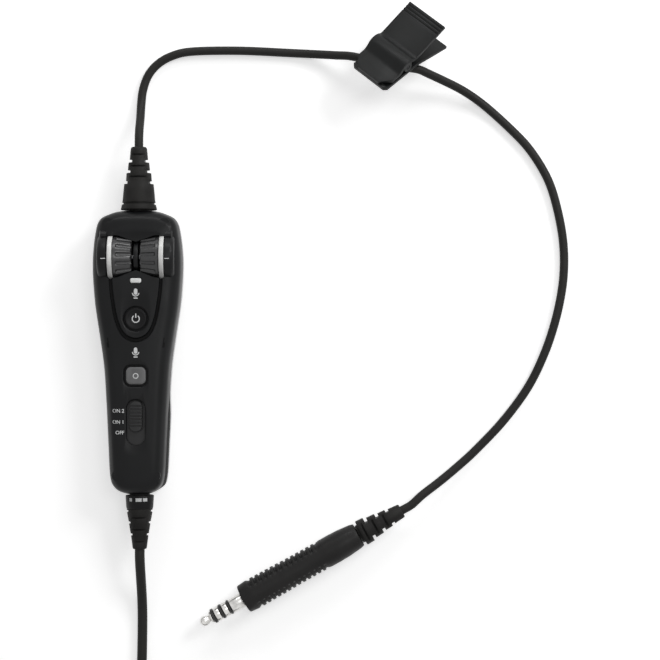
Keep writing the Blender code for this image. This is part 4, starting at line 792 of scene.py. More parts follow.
    @classmethod
    def dressed(
        cls, piece: Piece, finish: Finish, body: str, slot: Slot, *nodes: str, angle: float = 34.0
    ) -> Piece:
        """Smooths a finished piece, gives it its finish and puts it on its body.

        Args:
            piece: The piece, in place.
            finish: Its finish.
            body: The body that carries it.
            slot: Its material slot; not used.
            nodes: The solids that it stands for.
            angle: The least angle in degrees that stays an edge.

        Returns:
            The piece.
        """
        cls.pick(piece)
        if piece.type == "MESH":
            bpy.ops.object.shade_smooth_by_angle(angle=math.radians(angle))
        piece.data.materials.clear()
        piece.data.materials.append(finish.material())
        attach(piece, body)
        if nodes:
            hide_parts(*nodes)
        LOG.info("%s rides on %s in %s", piece.name, body, finish.name)
        return piece


# Cords


def cord_curve(name: str, line: Sequence[Vector], diameter: float) -> Piece:
    """Makes a cord as one open spline with a round section.

    Args:
        name: The piece's name.
        line: Its centreline in millimetres.
        diameter: Its diameter in millimetres.

    Returns:
        The curve.
    """
    curve = bpy.data.curves.new(name, "CURVE")
    curve.dimensions = "3D"
    curve.bevel_depth = diameter / 2 * MM
    curve.bevel_resolution = 6
    curve.use_fill_caps = True
    spline = curve.splines.new("POLY")
    spline.points.add(len(line) - 1)
    for spot, point in zip(spline.points, line):
        spot.co = (*(Vector(point) * MM), 1.0)
    spline.use_smooth = True
    cord = bpy.data.objects.new(name, curve)
    bpy.context.scene.collection.objects.link(cord)
    return cord


@dataclass
class ClipFrame:
    """The clip's own axes: x across the jaws, y towards the finger tabs, z away from the cord."""

    centre: Point = (122.8, 136.1, 15.6)
    turn: float = math.radians(-49.3)
    pitch: float = math.radians(-18.0)
    roll: float = math.radians(26.0)
    cord_across: float = math.radians(32.0)

    def matrix(self) -> Matrix:
        """Places the clip's frame in the row frame, in millimetres."""
        lean = Matrix.Rotation(self.pitch, 4, "X") @ Matrix.Rotation(-self.roll, 4, "Y")
        return Matrix.Translation(self.centre) @ Matrix.Rotation(self.turn, 4, "Z") @ lean

    def on_cord(self, along: float) -> Point:
        """A point on the cord's line through the holder, in millimetres from its middle."""
        across = Vector((math.cos(self.cord_across) * along, math.sin(self.cord_across) * along, 0.0))
        return tuple(self.matrix() @ across)


@dataclass
class PlugFrame:
    """The plug's axis, from the handle's front face towards its cord."""

    front: Point = PLUG_FRONT
    turn: float = PLUG_TURN

    def matrix(self) -> Matrix:
        """Places the plug's frame in the row frame, in millimetres."""
        return Matrix.Translation(self.front) @ Matrix.Rotation(self.turn, 4, "Z")

    def at(self, axial: float) -> Point:
        """A point on the axis."""
        return tuple(self.matrix() @ Vector((axial, 0.0, 0.0)))


@dataclass
class PlugCord:
    """The cord from the module over the clip to the plug, whose handle it ends in."""

    diameter: float = 4.2
    exit_y: float = 97.1
    tail_end: float = 88.3
    jacket_end: float = 14.0
    clip: ClipFrame = field(default_factory=ClipFrame)
    plug: PlugFrame = field(default_factory=PlugFrame)

    def route(self) -> list[Point]:
        """The points that the cord goes through."""
        return [
            (0.4, self.exit_y - 2.0, CORD_Z),
            (0.4, 100.9, CORD_Z), (0.4, 106.0, 10.6), (0.5, 112.0, 6.6), (0.6, 119.5, 3.1),
            (1.3, 126.0, 2.2), (3.8, 133.0, 2.2), (8.4, 138.6, 2.2), (15.2, 142.6, 2.2),
            (25.3, 144.9, 2.2), (48.8, 145.3, 2.2), (73.2, 144.2, 2.2), (84.0, 143.5, 3.4),
            (94.7, 142.5, 6.4), (104.4, 141.2, 10.4),
            self.clip.on_cord(-5.0),
            self.clip.on_cord(5.0),
            (135.2, 134.4, 15.4), (140.6, 132.4, 13.4), (148.6, 129.3, 9.6), (156.7, 125.8, 6.0),
            (164.6, 121.1, 3.4), (172.5, 114.9, 2.3), (182.1, 106.0, 2.2), (189.4, 98.3, 2.2),
            (195.9, 88.9, 2.2), (200.6, 79.4, 2.2), (204.1, 67.4, 2.2), (206.6, 54.0, 2.2),
            (207.3, 41.0, 2.2), (206.1, 27.3, 2.2), (202.6, 11.6, 2.2), (197.2, -4.0, 2.2),
            (189.4, -19.7, 2.2), (177.7, -35.6, 2.3), (164.2, -49.8, 2.9), (155.1, -58.0, 3.9),
            (146.2, -65.2, 5.6), (137.6, -71.6, 7.4),
            self.plug.at(self.tail_end + 5.0),
            self.plug.at(self.tail_end),
            self.plug.at((self.tail_end + self.jacket_end) / 2),
            self.plug.at(self.jacket_end),
        ]

    def build(self) -> Piece:
        line = even_line(smooth_line(self.route(), 8), 2.0)
        cord = cord_curve("plug_lead", line, self.diameter)
        Bench.dressed(cord, CORD_BLACK, "module", Slot.CORD, "plug_cord")
        LOG.info("plug lead: %.1f mm", line_length(line))
        return cord

    def declare(self, cord: Piece, on_it: Sequence[Piece]) -> None:
        """Args:
            cord: The cord's piece; not used.
            on_it: The pieces that it carries; not used.
        """


@dataclass
class HeadsetCord:
    """The cord to the headset: 5 cm of it in the photograph and the rest wound into a coil under the view."""

    diameter: float = 4.8
    exit_y: float = -97.1
    coil_centre_y: float = -192.0
    coil_inner_r: float = 23.7
    coil_pitch: float = 5.35
    coil_turns: float = 4.25
    turn_points: int = 48
    coil_low_z: float = 3.3
    end_x: float = 59.7
    end_z: float = 4.5

    @property
    def outer_r(self) -> float:
        """Radius of the coil's first and last turn."""
        return self.coil_inner_r + self.coil_pitch * (self.coil_turns - 0.5) / 2

    def coil(self) -> list[Vector]:
        """Spirals in on the lower layer, climbs in a half turn and spirals out on top."""
        count = round(self.coil_turns * self.turn_points)
        centre = Vector((self.outer_r, self.coil_centre_y, 0.0))
        points = []
        for i in range(count + 1):
            turn = self.coil_turns * i / count
            off = turn - self.coil_turns / 2
            climb = min(max(off * 2 + 0.5, 0.0), 1.0)
            radius = self.coil_inner_r - self.coil_pitch / 4 + self.coil_pitch * abs(off)
            angle = math.pi + math.tau * turn
            z = self.coil_low_z + self.coil_pitch * climb
            points.append(centre + Vector((radius * math.cos(angle), radius * math.sin(angle), z)))
        return points

    def line(self) -> list[Vector]:
        """The whole centreline, from the module to the connector's relief."""
        coil = self.coil()
        lead = [(0.8, self.exit_y + 2.0, CORD_Z), (0.8, -101.4, CORD_Z), (0.9, -108.0, 10.4)]
        lead += [(1.0, -117.0, 6.2), (1.1, -126.0, 3.3), (1.1, -136.0, 2.5), (0.8, -155.0, 2.6)]
        lead += [(0.0, -180.0, 3.3), (0.0, self.coil_centre_y + 5.0, 3.3), tuple(coil[0])]
        start, end = coil[-1], Vector((self.end_x, coil[-1].y, self.end_z))
        tail = [start, start + Vector((5.0, 0, 0)), start.lerp(end, 0.62) + Vector((0, -0.6, -0.5))]
        tail += [end - Vector((4.0, 0, 0)), end]
        return smooth_line(lead, 8)[:-1] + coil[:-1] + smooth_line(tail, 8)

    def build(self) -> Piece:
        """Makes the cord in one spline, coil and all."""
        line = even_line(self.line(), 2.0)
        cord = cord_curve("headset_lead", line, self.diameter)
        nodes = ("headset_cord", "headset_cord_coil", "headset_cord_end")
        Bench.dressed(cord, CORD_BLACK, "module", Slot.CORD, *nodes)
        LOG.info("headset lead: %.1f mm", line_length(line))
        return cord

    def declare(self, cord: Piece, on_it: Sequence[Piece]) -> None:
        """Args:
            cord: The cord's piece; not used.
            on_it: The pieces that it carries; not used.
        """


# Studio


@dataclass
class Studio:
    """White floor, soft lamps and the photograph's camera, which looks straight down."""

    camera_place: Point = (92.8, 8.7, 900.0)
    lens: float = 100.1
    sensor: float = 36.0
    floor_radius: float = 7.0
    floor_z: float = -0.0002
    floor_colour: Colour = (0.82, 0.82, 0.82)
    floor_glow: float = 0.55
    room_level: float = 0.2
    aim: Point = (0.09, 0.0, 0.0)
    lamps: tuple[tuple[str, Point, Flat, float], ...] = (
        ("key_softbox", (0.95, 0.75, 0.85), (0.5, 0.5), 8.0),
        ("far_strip", (0.1, 1.05, 0.6), (1.1, 0.25), 4.5),
        ("top_softbox", (0.38, 0.2, 1.3), (0.4, 0.6), 2.2),
    )

    def camera(self) -> None:
        """Creates the camera."""
        data = bpy.data.cameras.new("photo_camera")
        data.sensor_width = self.sensor
        data.lens = self.lens
        data.clip_start = 0.01
        data.clip_end = 50.0
        camera = bpy.data.objects.new("photo_camera", data)
        camera.location = Vector(self.camera_place) * MM
        bpy.context.scene.collection.objects.link(camera)
        bpy.context.scene.camera = camera

    def seen_as_white(self, tree: bpy.types.NodeTree) -> Socket:
        """Tells the rays that see from the light that falls on things.

        Args:
            tree: The node tree that asks.

        Returns:
            1 for rays from the camera, off gloss and through glass, else 0.
        """
        path = tree.nodes.new("ShaderNodeLightPath")
        total = path.outputs["Is Camera Ray"]
        for kind in ("Is Glossy Ray", "Is Transmission Ray"):
            add = add_node(tree, "Math", {0: total, 1: path.outputs[kind]})
            add.operation = "ADD"
            add.use_clamp = True
            total = add.outputs[0]
        return total

    def floor(self) -> None:
        """A wide white table top, which keeps the shadows."""
        bpy.ops.object.select_all(action="DESELECT")
        radius, place = self.floor_radius, (0, 0, self.floor_z)
        bpy.ops.mesh.primitive_circle_add(vertices=96, radius=radius, fill_type="NGON", location=place)
        floor = bpy.context.active_object
        floor.name = "table_top"
        bpy.ops.object.transform_apply(location=True, rotation=True, scale=True)
        material = bpy.data.materials.new("table_white")
        material.use_nodes = True
        tree = material.node_tree
        tree.nodes.clear()
        lit = add_node(tree, "BsdfDiffuse", {"Color": (*self.floor_colour, 1.0)})
        scale = add_node(tree, "Math", {0: self.seen_as_white(tree), 1: self.floor_glow})
        scale.operation = "MULTIPLY"
        glow = add_node(tree, "Emission", {"Strength": scale.outputs[0]})
        both = add_node(tree, "AddShader", {0: lit.outputs[0], 1: glow.outputs[0]})
        add_node(tree, "OutputMaterial", {"Surface": both.outputs[0]})
        floor.data.materials.append(material)

    def world(self) -> None:
        """A white room for the camera, and a dim even light for the rest."""
        world = bpy.data.worlds.new("white_room")
        bpy.context.scene.world = world
        world.use_nodes = True
        tree = world.node_tree
        back = tree.nodes["Background"]
        back.inputs["Color"].default_value = (1.0, 1.0, 1.0, 1.0)
        values = {"To Min": self.room_level, "To Max": 1.0, "Value": self.seen_as_white(tree)}
        level = add_node(tree, "MapRange", values)
        tree.links.new(level.outputs["Result"], back.inputs["Strength"])

    def lamp(self, name: str, place: Point, size: Flat, power: float) -> None:
        """Adds a softbox that faces the middle of the cable.

        Args:
            name: Its name.
            place: Where it hangs, in metres.
            size: Its width and height, in metres.
            power: Its power in watts.
        """
        data = bpy.data.lights.new(name, "AREA")
        data.shape = "RECTANGLE"
        data.size, data.size_y = size
        data.energy = power
        lamp = bpy.data.objects.new(name, data)
        lamp.location = place
        lamp.rotation_mode = "QUATERNION"
        lamp.rotation_quaternion = (Vector(self.aim) - Vector(place)).to_track_quat("-Z", "Y")
        bpy.context.scene.collection.objects.link(lamp)

    def build(self) -> None:
        """Sets up the whole studio."""
        self.camera()
        self.floor()
        self.world()
        for name, place, size, power in self.lamps:
            self.lamp(name, place, size, power)
        bpy.context.scene.view_settings.view_transform = "Standard"


# Control module


@dataclass
class Casing:
    """The module's two moulded shells and its battery door."""

    half_outline: tuple[Flat, ...] = (
        (66.4, 0.0), (66.1, 8.0), (64.8, 13.2), (61.9, 18.3), (55.1, 20.5),
        (40.6, 21.75), (23.2, 20.8), (7.7, 18.6), (-7.7, 16.4), (-25.0, 15.2),
        (-46.4, 14.2), (-61.9, 13.3), (-67.2, 11.2), (-69.9, 7.0), (-70.8, 0.0),
    )
    outline_steps: int = 6
    middle_y: float = -2.2
    half_length: float = 68.6
    widest: float = 21.75
    parting_z: float = CORD_Z
    face_z: float = 24.0
    face_drop: float = 0.42
    wall: float = 1.8
    rear_wall: float = 1.6
    flare: float = 0.9
    cheek_r: float = 11.5
    cheek_x: tuple[float, ...] = (13.9, 14.15, 16.7, 17.2, 17.8, 18.2, 18.4)
    cheek_inset: tuple[float, ...] = (0.25, 0.0, 0.08, 0.3, 0.75, 1.2, 1.7)
    scoop: Point = (0.0, 51.0, 37.7)
    scoop_r: float = 14.8
    door_y: Flat = (-31.0, 33.0)
    door_z: float = 5.5
    door_gap: float = 0.15
    hinge: Flat = (-29.6, 1.7)
    hinge_gap: float = 0.6
    pin_r: float = 0.9
    boss_r: float = 2.8
    end_x: float = 40.0
    # The zone inside the holes, the slot and the groove whose faces get the painted shade.
    well_x: Flat = (8.0, 13.6)
    well_y: Flat = (-50.0, 36.5)
    well_depth: Flat = (3.0, 0.75)

    def bulge(self, y: float) -> float:
        """How much of the rear shell's flare applies at a place along the module, 0 to 1."""
        return min(eased((-20.0 - y) / 14.0), eased((y + 69.0) / 4.0))

    def outline(self, inset: float, crown: float, flare: float = 0.0) -> list[Flat]:
        """The casing seen from above.

        Args:
            inset: How far it moves in, square to its edge.
            crown: How far it is drawn in towards the middle.
            flare: How far the right side of the battery end is widened.

        Returns:
            The outline's points.
        """
        left = [(-half, y) for y, half in reversed(self.half_outline[1:-1])]
        loop = [(half, y) for y, half in self.half_outline] + left
        closed = smooth_line([loop[-1], *loop, loop[0], loop[1]], self.outline_steps)
        curve = closed[self.outline_steps : self.outline_steps * (len(loop) + 1)]
        points = []
        for i, point in enumerate(curve):
            along = curve[(i + 1) % len(curve)] - curve[i - 1]
            outward = Vector((-along.y, along.x)).normalized()
            widened = flare * self.bulge(point.y) if point.x > 0 else 0.0
            spot = point + outward * (widened - inset)
            y = self.middle_y + (spot.y - self.middle_y) * (1 - crown / self.half_length)
            points.append((spot.x * (1 - crown / self.widest), y))
        return points

    def ring(self, z: float, inset: float, crown: float, flare: float = 0.0) -> list[Point]:
        """One level of a shell."""
        return [(x, y, z) for x, y in self.outline(inset, crown, flare)]

    def face_rings(self) -> list[list[Point]]:
        """The crowned face, from its middle out to where the edge starts to turn."""
        rings = []
        edge = self.outline(2.0, 6.2)
        for share in (0.06, 0.2, 0.36, 0.52, 0.68, 0.82, 0.92, 1.0):
            z = self.face_z - self.face_drop * share**2
            rings.append([(x * share, self.middle_y + (y - self.middle_y) * share, z) for x, y in edge])
        return rings

    def levels(self, rows: Sequence[Sequence[float]], steps: int, flare: float) -> list[list[Point]]:
        """Rings of a shell's wall, smoothed between rows of height, inset and crown."""
        return [self.ring(*row, flare) for row in smooth_line(rows, steps)]

    def front_shell(self) -> Piece:
        """The front: crowned face, soft edge, hollow inside, with its window, holes, slot and groove."""
        z = self.face_z
        rows = [(z - self.face_drop, 2.0, 6.2), (z - 0.72, 2.0, 4.0), (z - 1.4, 2.0, 1.9)]
        rows += [(z - 2.6, 1.75, 0.6), (z - 4.6, 0.95, 0.0), (z - 7.6, 0.3, 0.0)]
        rows += [(self.parting_z + 0.4, 0.0, 0.0)]
        rings = self.face_rings() + self.levels(rows, 3, 0.0)[1:]
        rim = self.parting_z + FIT_GAP / 2
        rings += [self.ring(rim, 0.25, 0), self.ring(rim, self.wall, 0)]
        rings += [self.ring(z - 4.0, self.wall + 1.2, 0.6), self.ring(z - self.wall, self.wall + 1.8, 4.6)]
        shell = Bench.pulled("front_case", rings)
        bosses = [Bench.slab("boss", disc(self.boss_r, place, 24), rim, z - 1.6) for place in self.screws()]
        Bench.boolean(shell, bosses + self.cheek_ramps(), "UNION")
        Bench.boolean(shell, [self.thumb_scoop()], "DIFFERENCE")
        Bench.boolean(shell, [self.cheek(side) for side in Side], "UNION")
        Bench.boolean(shell, [self.window_cutter(), *self.face_cutters()], "DIFFERENCE")
        Bench.boolean(shell, [self.groove_cutter()] + self.outlets(), "DIFFERENCE")
        Bench.dressed(shell, CASE_BLACK, "module", Slot.CASING, "front_shell", angle=38)
        # Painted shade: faces inside the holes, the slot and the groove take the darker well colour.
        shell.data.materials.append(WELL_PAINTED_SHADE.material())
        for face in shell.data.polygons:
            face.material_index = int(self.in_well(face.center / MM))
        return shell

    def in_well(self, spot: Vector) -> bool:
        """Whether a place on the front shell is inside a button's hole, the slot or the groove, where its
        faces get painted shade.

        Args:
            spot: The place, in millimetres.

        Returns:
            True inside.
        """
        low, high = self.well_y
        deep, shallow = (self.face_z - depth for depth in self.well_depth)
        return abs(spot.x) < self.well_x[int(spot.y > 0)] and low < spot.y < high and deep < spot.z < shallow

    def cheek(self, side: Side) -> Piece:
        """The round housing beside a wheel, rounded over at its outer end.

        Args:
            side: Which wheel it stands beside.

        Returns:
            The housing, to be joined to the shell.
        """
        y, z = WHEEL_AXLE
        rings = []
        for x, inset in zip(self.cheek_x, self.cheek_inset):
            r = self.cheek_r - inset
            spread = math.acos((21.8 - z) / r)
            steps = [-spread + 2 * spread * i / 40 for i in range(41)]
            rings.append([(side.value * x, y + r * math.sin(t), z + r * math.cos(t)) for t in steps])
        return Bench.pulled("cheek", rings)

    def cheek_ramps(self) -> list[Piece]:
        """The short ramps that lead down the face to the upper end of each cheek."""
        section = [(52.2, 22.5), (52.9, 23.9), (53.4, 24.25), (54.2, 24.15), (55.2, 23.75), (56.2, 22.9)]
        places = ((14.0, 0), (16.9, 0), (17.4, 0.8))
        ramps = []
        for side in Side:
            rings = [[(side.value * x, y, z - drop) for y, z in section] for x, drop in places]
            ramps.append(Bench.pulled("cheek_ramp", rings))
        return ramps

    def window_cutter(self) -> Piece:
        """The wheel window, an hourglass that follows the two wheels."""
        half = [(2.1, 9.75), (6.0, 10.9), (9.1, 11.85), (13.8, 11.85)]
        profile = [(-x, r) for x, r in reversed(half)] + [(0.0, 9.2)] + half
        cutter = Bench.turned("window_cutter", smooth_line(profile, 3), 96)
        return Bench.placed(cutter, Matrix.Translation((0, *WHEEL_AXLE)))

    def thumb_scoop(self) -> Piece:
        """The shallow hollow over the wheels that lets a thumb reach them."""
        r = self.scoop_r
        half = [(9.0, r), (10.9, r - 0.15), (12.0, r - 0.6), (12.5, r - 1.2)]
        profile = [(-x, radius) for x, radius in reversed(half)] + half
        return Bench.placed(Bench.turned("scoop_cutter", profile, 144), Matrix.Translation(self.scoop))

    def hole(self, name: str, outline: Growing, lip: float) -> Piece:
        """A cutter for a hole in the face, flared at the top so that its edge is broken.

        Args:
            name: The cutter's name.
            outline: Gives the hole's outline, grown by a distance.
            lip: How wide the broken edge is.

        Returns:
            The cutter.
        """
        z = self.face_z
        low = z - 0.25
        rows = [(z - 5, 0.0), (low - lip, 0.0), (low - 0.3 * lip, 0.25 * lip), (low + 0.3, lip + 0.3)]
        return Bench.stacked(name, outline, [*rows, (z + 2, lip + 2.0)])

    def face_cutters(self) -> list[Piece]:
        """Cutters of the two button holes, the slider's slot and the light window."""
        return [
            self.hole("power_hole", lambda g: disc(5.9 + g, POWER_AT, 64), 0.6),
            self.hole("function_hole", growing_oblong(11.5, 10.3, 3.4, FUNCTION_AT), 0.5),
            self.hole("slider_slot", growing_oblong(8.8, 21.7, 4.2, SLOT_AT), 0.45),
            self.hole("light_hole", growing_oblong(5.5, 2.5, 1.0, LIGHT_AT), 0.12),
        ]

    def groove_cutter(self) -> Piece:
        """The U-shaped groove that frames the power button, from wheel to wheel."""
        route = [(-12.3, 35.2), (-11.4, 25.0), (-9.3, 13.5), (-5.8, 6.4), (0.0, 3.9)]
        route += [(-x, y) for x, y in reversed(route[:-1])]
        path = smooth_line([(x, y, 0.0) for x, y in route], 8)
        floor = self.face_z - 1.2
        section = ((-0.6, 0.0), (0.0, -0.1), (0.6, 0.0), (0.72, 0.7), (2.0, 2.2), (-2.0, 2.2), (-0.72, 0.7))
        rings = []
        for i, point in enumerate(path):
            along = path[min(i + 1, len(path) - 1)] - path[max(i - 1, 0)]
            across = Vector((-along.y, along.x, 0.0)).normalized()
            rings.append([point + across * out + Vector((0, 0, floor + up)) for out, up in section])
        return Bench.pulled("groove_cutter", rings)

    def outlets(self) -> list[Piece]:
        """Cutters of the round holes in the ends that the strain reliefs leave by."""
        cutters = []
        turn = Matrix.Rotation(math.pi / 2, 4, "Z")
        for relief, end in ((UPPER_RELIEF, self.half_outline[0]), (LOWER_RELIEF, self.half_outline[-1])):
            cutter = Bench.turned("outlet_cutter", [(-8, 5.2), (8, 5.2)], 40)
            place = Matrix.Translation((relief[0], end[0], self.parting_z))
            cutters.append(Bench.placed(cutter, place @ turn))
        return cutters

    def rear_rings(self) -> list[list[Point]]:
        """The rear half's outside and inside, from its flat back over the rim."""
        rows = [(0.0, 2.6, 1.6), (0.25, 2.1, 0.9), (0.9, 1.5, 0.2), (2.6, 0.45, 0.0), (7.0, 0.1, 0.0)]
        rows += [(self.parting_z - 0.4, 0.0, 0.0)]
        rings = self.levels(rows, 3, self.flare)
        rim = self.parting_z - FIT_GAP / 2
        rings += [self.ring(rim, 0.25, 0, self.flare), self.ring(rim, self.rear_wall, 0, self.flare)]
        inner = [(4.0, self.rear_wall + 0.4, 0.0), (1.8, self.rear_wall + 1.8, 1.4)]
        return rings + [self.ring(*row, self.flare) for row in inner]

    def door_block(self, gap: float, hinge_gap: float) -> Piece:
        """The block of the back that the door fills.

        Args:
            gap: How far it is shrunk at the top and the free end, or grown by a negative one.
            hinge_gap: How far it is grown at the hinge end.

        Returns:
            The block, open to the back and the sides.
        """
        low_y, high_y = self.door_y
        high = (self.end_x, high_y - gap, self.door_z - gap)
        return Bench.block("door_block", (-self.end_x, low_y - hinge_gap, -5), high)

    def rear_shell(self) -> Piece:
        """The back: door opening, bulkheads, hinge lugs and screw recesses."""
        shell = Bench.pulled("rear_case", self.rear_rings())
        Bench.boolean(shell, [self.door_block(-self.door_gap, self.hinge_gap)], "DIFFERENCE")
        bulkheads = ((20.4, 31.2, 32.6, 5.8, 12.1), (15.2, -23.3, -21.9, 5.8, 12.1))
        bulkheads += ((9.8, 31.21, 32.4, 10.5, 16.6), (10.0, -23.29, -21.91, 10.5, 16.6))
        walls = []
        for half, near, far, low, high in bulkheads:
            walls.append(Bench.block("bulkhead", (-half, near, low), (half, far, high)))
        rim = self.parting_z - FIT_GAP / 2
        walls += [Bench.slab("boss", disc(self.boss_r, place, 24), 0.9, rim) for place in self.screws()]
        for side in Side:
            near, far = side.span(8.4, 10.4)
            walls.append(Bench.block("lug", (near, -33.5, 0.35), (far, -28.0, 3.3)))
        Bench.boolean(shell, walls, "UNION")
        cutters = [self.rod("pin_bore", self.pin_r, 11.4)]
        for x, y in self.screws():
            cutters.append(Bench.slab("screw_bore", disc(1.4, (x, y), 24), 1.0, 13.5))
            cutters.append(Bench.slab("screw_recess", disc(2.3, (x, y), 32), -1.0, 2.0))
        Bench.boolean(shell, cutters + self.outlets(), "DIFFERENCE")
        return Bench.dressed(shell, REAR_GLOSS, "module", Slot.CASING, "rear_shell", angle=38)

    @staticmethod
    def screws() -> list[Flat]:
        """The places of the four case screws."""
        return [(side.value * x, y) for x, y in ((13.5, 59.5), (8.8, -61.0)) for side in Side]

    def rod(self, name: str, radius: float, half: float) -> Piece:
        """A rod on the door's hinge axis."""
        rod = Bench.turned(name, [(-half, radius), (half, radius)], 32)
        return Bench.placed(rod, Matrix.Translation((0, *self.hinge)))

    def door(self) -> Piece:
        """The battery door: a block of the back with its knuckle, a thumb hollow and grip grooves."""
        door = Bench.pulled("battery_cover", self.rear_rings())
        Bench.boolean(door, [self.door_block(self.door_gap, self.door_gap)], "INTERSECT")
        Bench.boolean(door, [self.rod("knuckle", 1.6, 8.0)], "UNION")
        cutters = []
        for side in Side:
            near, far = side.span(8.0, 10.8)
            cutters.append(Bench.block("lug_slot", (near, -34.0, -4.0), (far, -27.36, 3.7)))
        outer = [(-1.0, -1.0), (2.0, -1.0), (-1.0, 2.0)]
        inner = [(-1.0, 3.8), (1.55, 6.35), (-1.0, 6.35)]
        for slope in (outer, inner):
            section = [(y - 31.2, z) for y, z in slope]
            cutters.append(Bench.crossbar("end_chamfer", section, -self.end_x, self.end_x))
        cutters.append(self.rod("pin_bore", self.pin_r, 9.0))
        profile = [(-7.4, 0.9), (-6.6, 1.5), (-5.6, 1.7), (5.6, 1.7), (6.6, 1.5), (7.4, 0.9)]
        thumb = Bench.turned("thumb_hollow", profile, 32)
        cutters.append(Bench.placed(thumb, Matrix.Translation((0, 28.0, -0.9))))
        for number in range(5):
            y, half = 24.4 - 1.7 * number, 6.0 - number * 0.6
            cutters.append(Bench.block("grip_groove", (-half, y - 0.35, -1.0), (half, y + 0.35, 0.35)))
        Bench.boolean(door, cutters, "DIFFERENCE")
        return Bench.dressed(door, CASE_BLACK, "door", Slot.CASING, "battery_door", angle=38)

    def build(self) -> Piece:
        """Makes both shells and the door, and gives back the front."""
        front = self.front_shell()
        self.rear_shell()
        self.door()
        return front


@dataclass
class VolumeWheels:
    """The two ribbed wheels with their white bands, and the divider between them."""

    axle: Point = (0.0, *WHEEL_AXLE)
    inner: float = 2.1
    outer: float = 13.5
    waist_r: float = 9.3
    rim_r: float = 10.9
    ribs: int = 15
    rib_depth: float = 0.8
    band_r: float = 11.4
    band_width: float = 2.3
    bore_r: float = 1.7

    def rib_ring(self, x: float, top: float, depth: float) -> list[Point]:
        """A ring round the wheel in which every rib has a flat top with soft edges and a valley.

        Args:
            x: Its place along the axle.
            top: Radius of the ribs' tops.
            depth: Depth of the valleys.

        Returns:
            The ring's points.
        """
        section = ((-0.28, 0.12), (-0.24, 0.02), (-0.08, -0.02), (0.08, -0.02), (0.24, 0.02), (0.28, 0.12))
        section += ((0.33, 0.8), (0.38, 1.0), (0.5, 1.04), (0.62, 1.0), (0.67, 0.8))
        ring = []
        for rib in range(self.ribs):
            for share, low in section:
                t = math.tau * (rib + share) / self.ribs
                r = top - depth * low
                ring.append((x, r * math.cos(t), r * math.sin(t)))
        return ring

    def wheel(self, side: Side) -> Piece:
        """A wheel: ribs that widen towards the band, with closed soft ends, and its seat for the band.

        Args:
            side: Which of the two it is.

        Returns:
            The wheel, on its axle.
        """
        rim = self.outer - self.band_width - FIT_GAP
        slope = (self.rim_r - self.waist_r) / (rim - self.inner)
        rows = [(0.0, 0.7, 0.3), (0.1, 0.35, 0.6), (0.5, 0.0, 1.0), (6.7, 0.0, 1.0), (7.0, 0.0, 0.85)]
        rows += [(7.3, 0.0, 0.35), (7.5, 0.0, 0.0), (7.9, 0.0, 0.0), (rim - self.inner - 0.15, 0.08, 0.0)]
        rows = [(self.inner + x, self.waist_r + x * slope - low, self.rib_depth * d) for x, low, d in rows]
        seat_r = self.band_r - 1.3
        rows += [(rim, self.rim_r - 0.4, 0.0), (rim, seat_r, 0.0), (self.outer, seat_r, 0.0)]
        rings = [self.rib_ring(side.value * x, r, d) for x, r, d in rows]
        wheel = Bench.pulled("thumb_wheel_" + side.name.lower(), rings)
        near, far = side.span(1.0, 20.0)
        bore = Bench.turned("bore", [(near, self.bore_r), (far, self.bore_r)], 32)
        Bench.boolean(wheel, [bore], "DIFFERENCE")
        return Bench.placed(wheel, Matrix.Translation(self.axle))

    def band(self, side: Side) -> Piece:
        """A white band with rounded edges.

        Args:
            side: Which wheel it is on.

        Returns:
            The band, on its wheel.
        """
        low, high, near, far = self.band_r - 1.0, self.band_r, self.outer - self.band_width, self.outer
        loop = [(near, low), (near, high - 0.45), (near + 0.12, high - 0.2), (near + 0.4, high - 0.08)]
        loop += [(near + 1.5, high), (far - 0.5, high), (far - 0.15, high - 0.12)]
        loop += [(far, high - 0.45), (far, low)]
        rings = [(side.value * x, r) for x, r in loop]
        band = Bench.turned("white_band_" + side.name.lower(), rings, 96, hoop=True)
        return Bench.placed(band, Matrix.Translation(self.axle))

    def divider(self) -> Piece:
        """The disc on its foot between the wheels."""
        profile = [(-1.2, 7.2), (-1.1, 7.6), (-0.8, 7.8), (0.8, 7.8), (1.1, 7.6), (1.2, 7.2)]
        divider = Bench.turned("axle_divider", profile, 64)
        foot = Bench.block("foot", (-1.0, -4.0, -15.2), (1.0, 4.0, -2.0))
        Bench.boolean(divider, [foot], "UNION")
        bore = Bench.turned("bore", [(-3, self.bore_r), (3, self.bore_r)], 32)
        Bench.boolean(divider, [bore], "DIFFERENCE")
        return Bench.placed(divider, Matrix.Translation(self.axle))

    def build(self) -> None:
        """Makes both wheels, their bands and the divider."""
        for side in Side:
            name = side.name.lower()
            body = "wheel_" + name
            Bench.dressed(self.wheel(side), WHEEL_RUBBER, body, Slot.RUBBER, "volume_wheel_" + name)
            Bench.dressed(self.band(side), BAND_WHITE, body, Slot.WHITE, "wheel_band_" + name, angle=50)
        Bench.dressed(self.divider(), CASE_BLACK, "module", Slot.CASING, "wheel_divider")


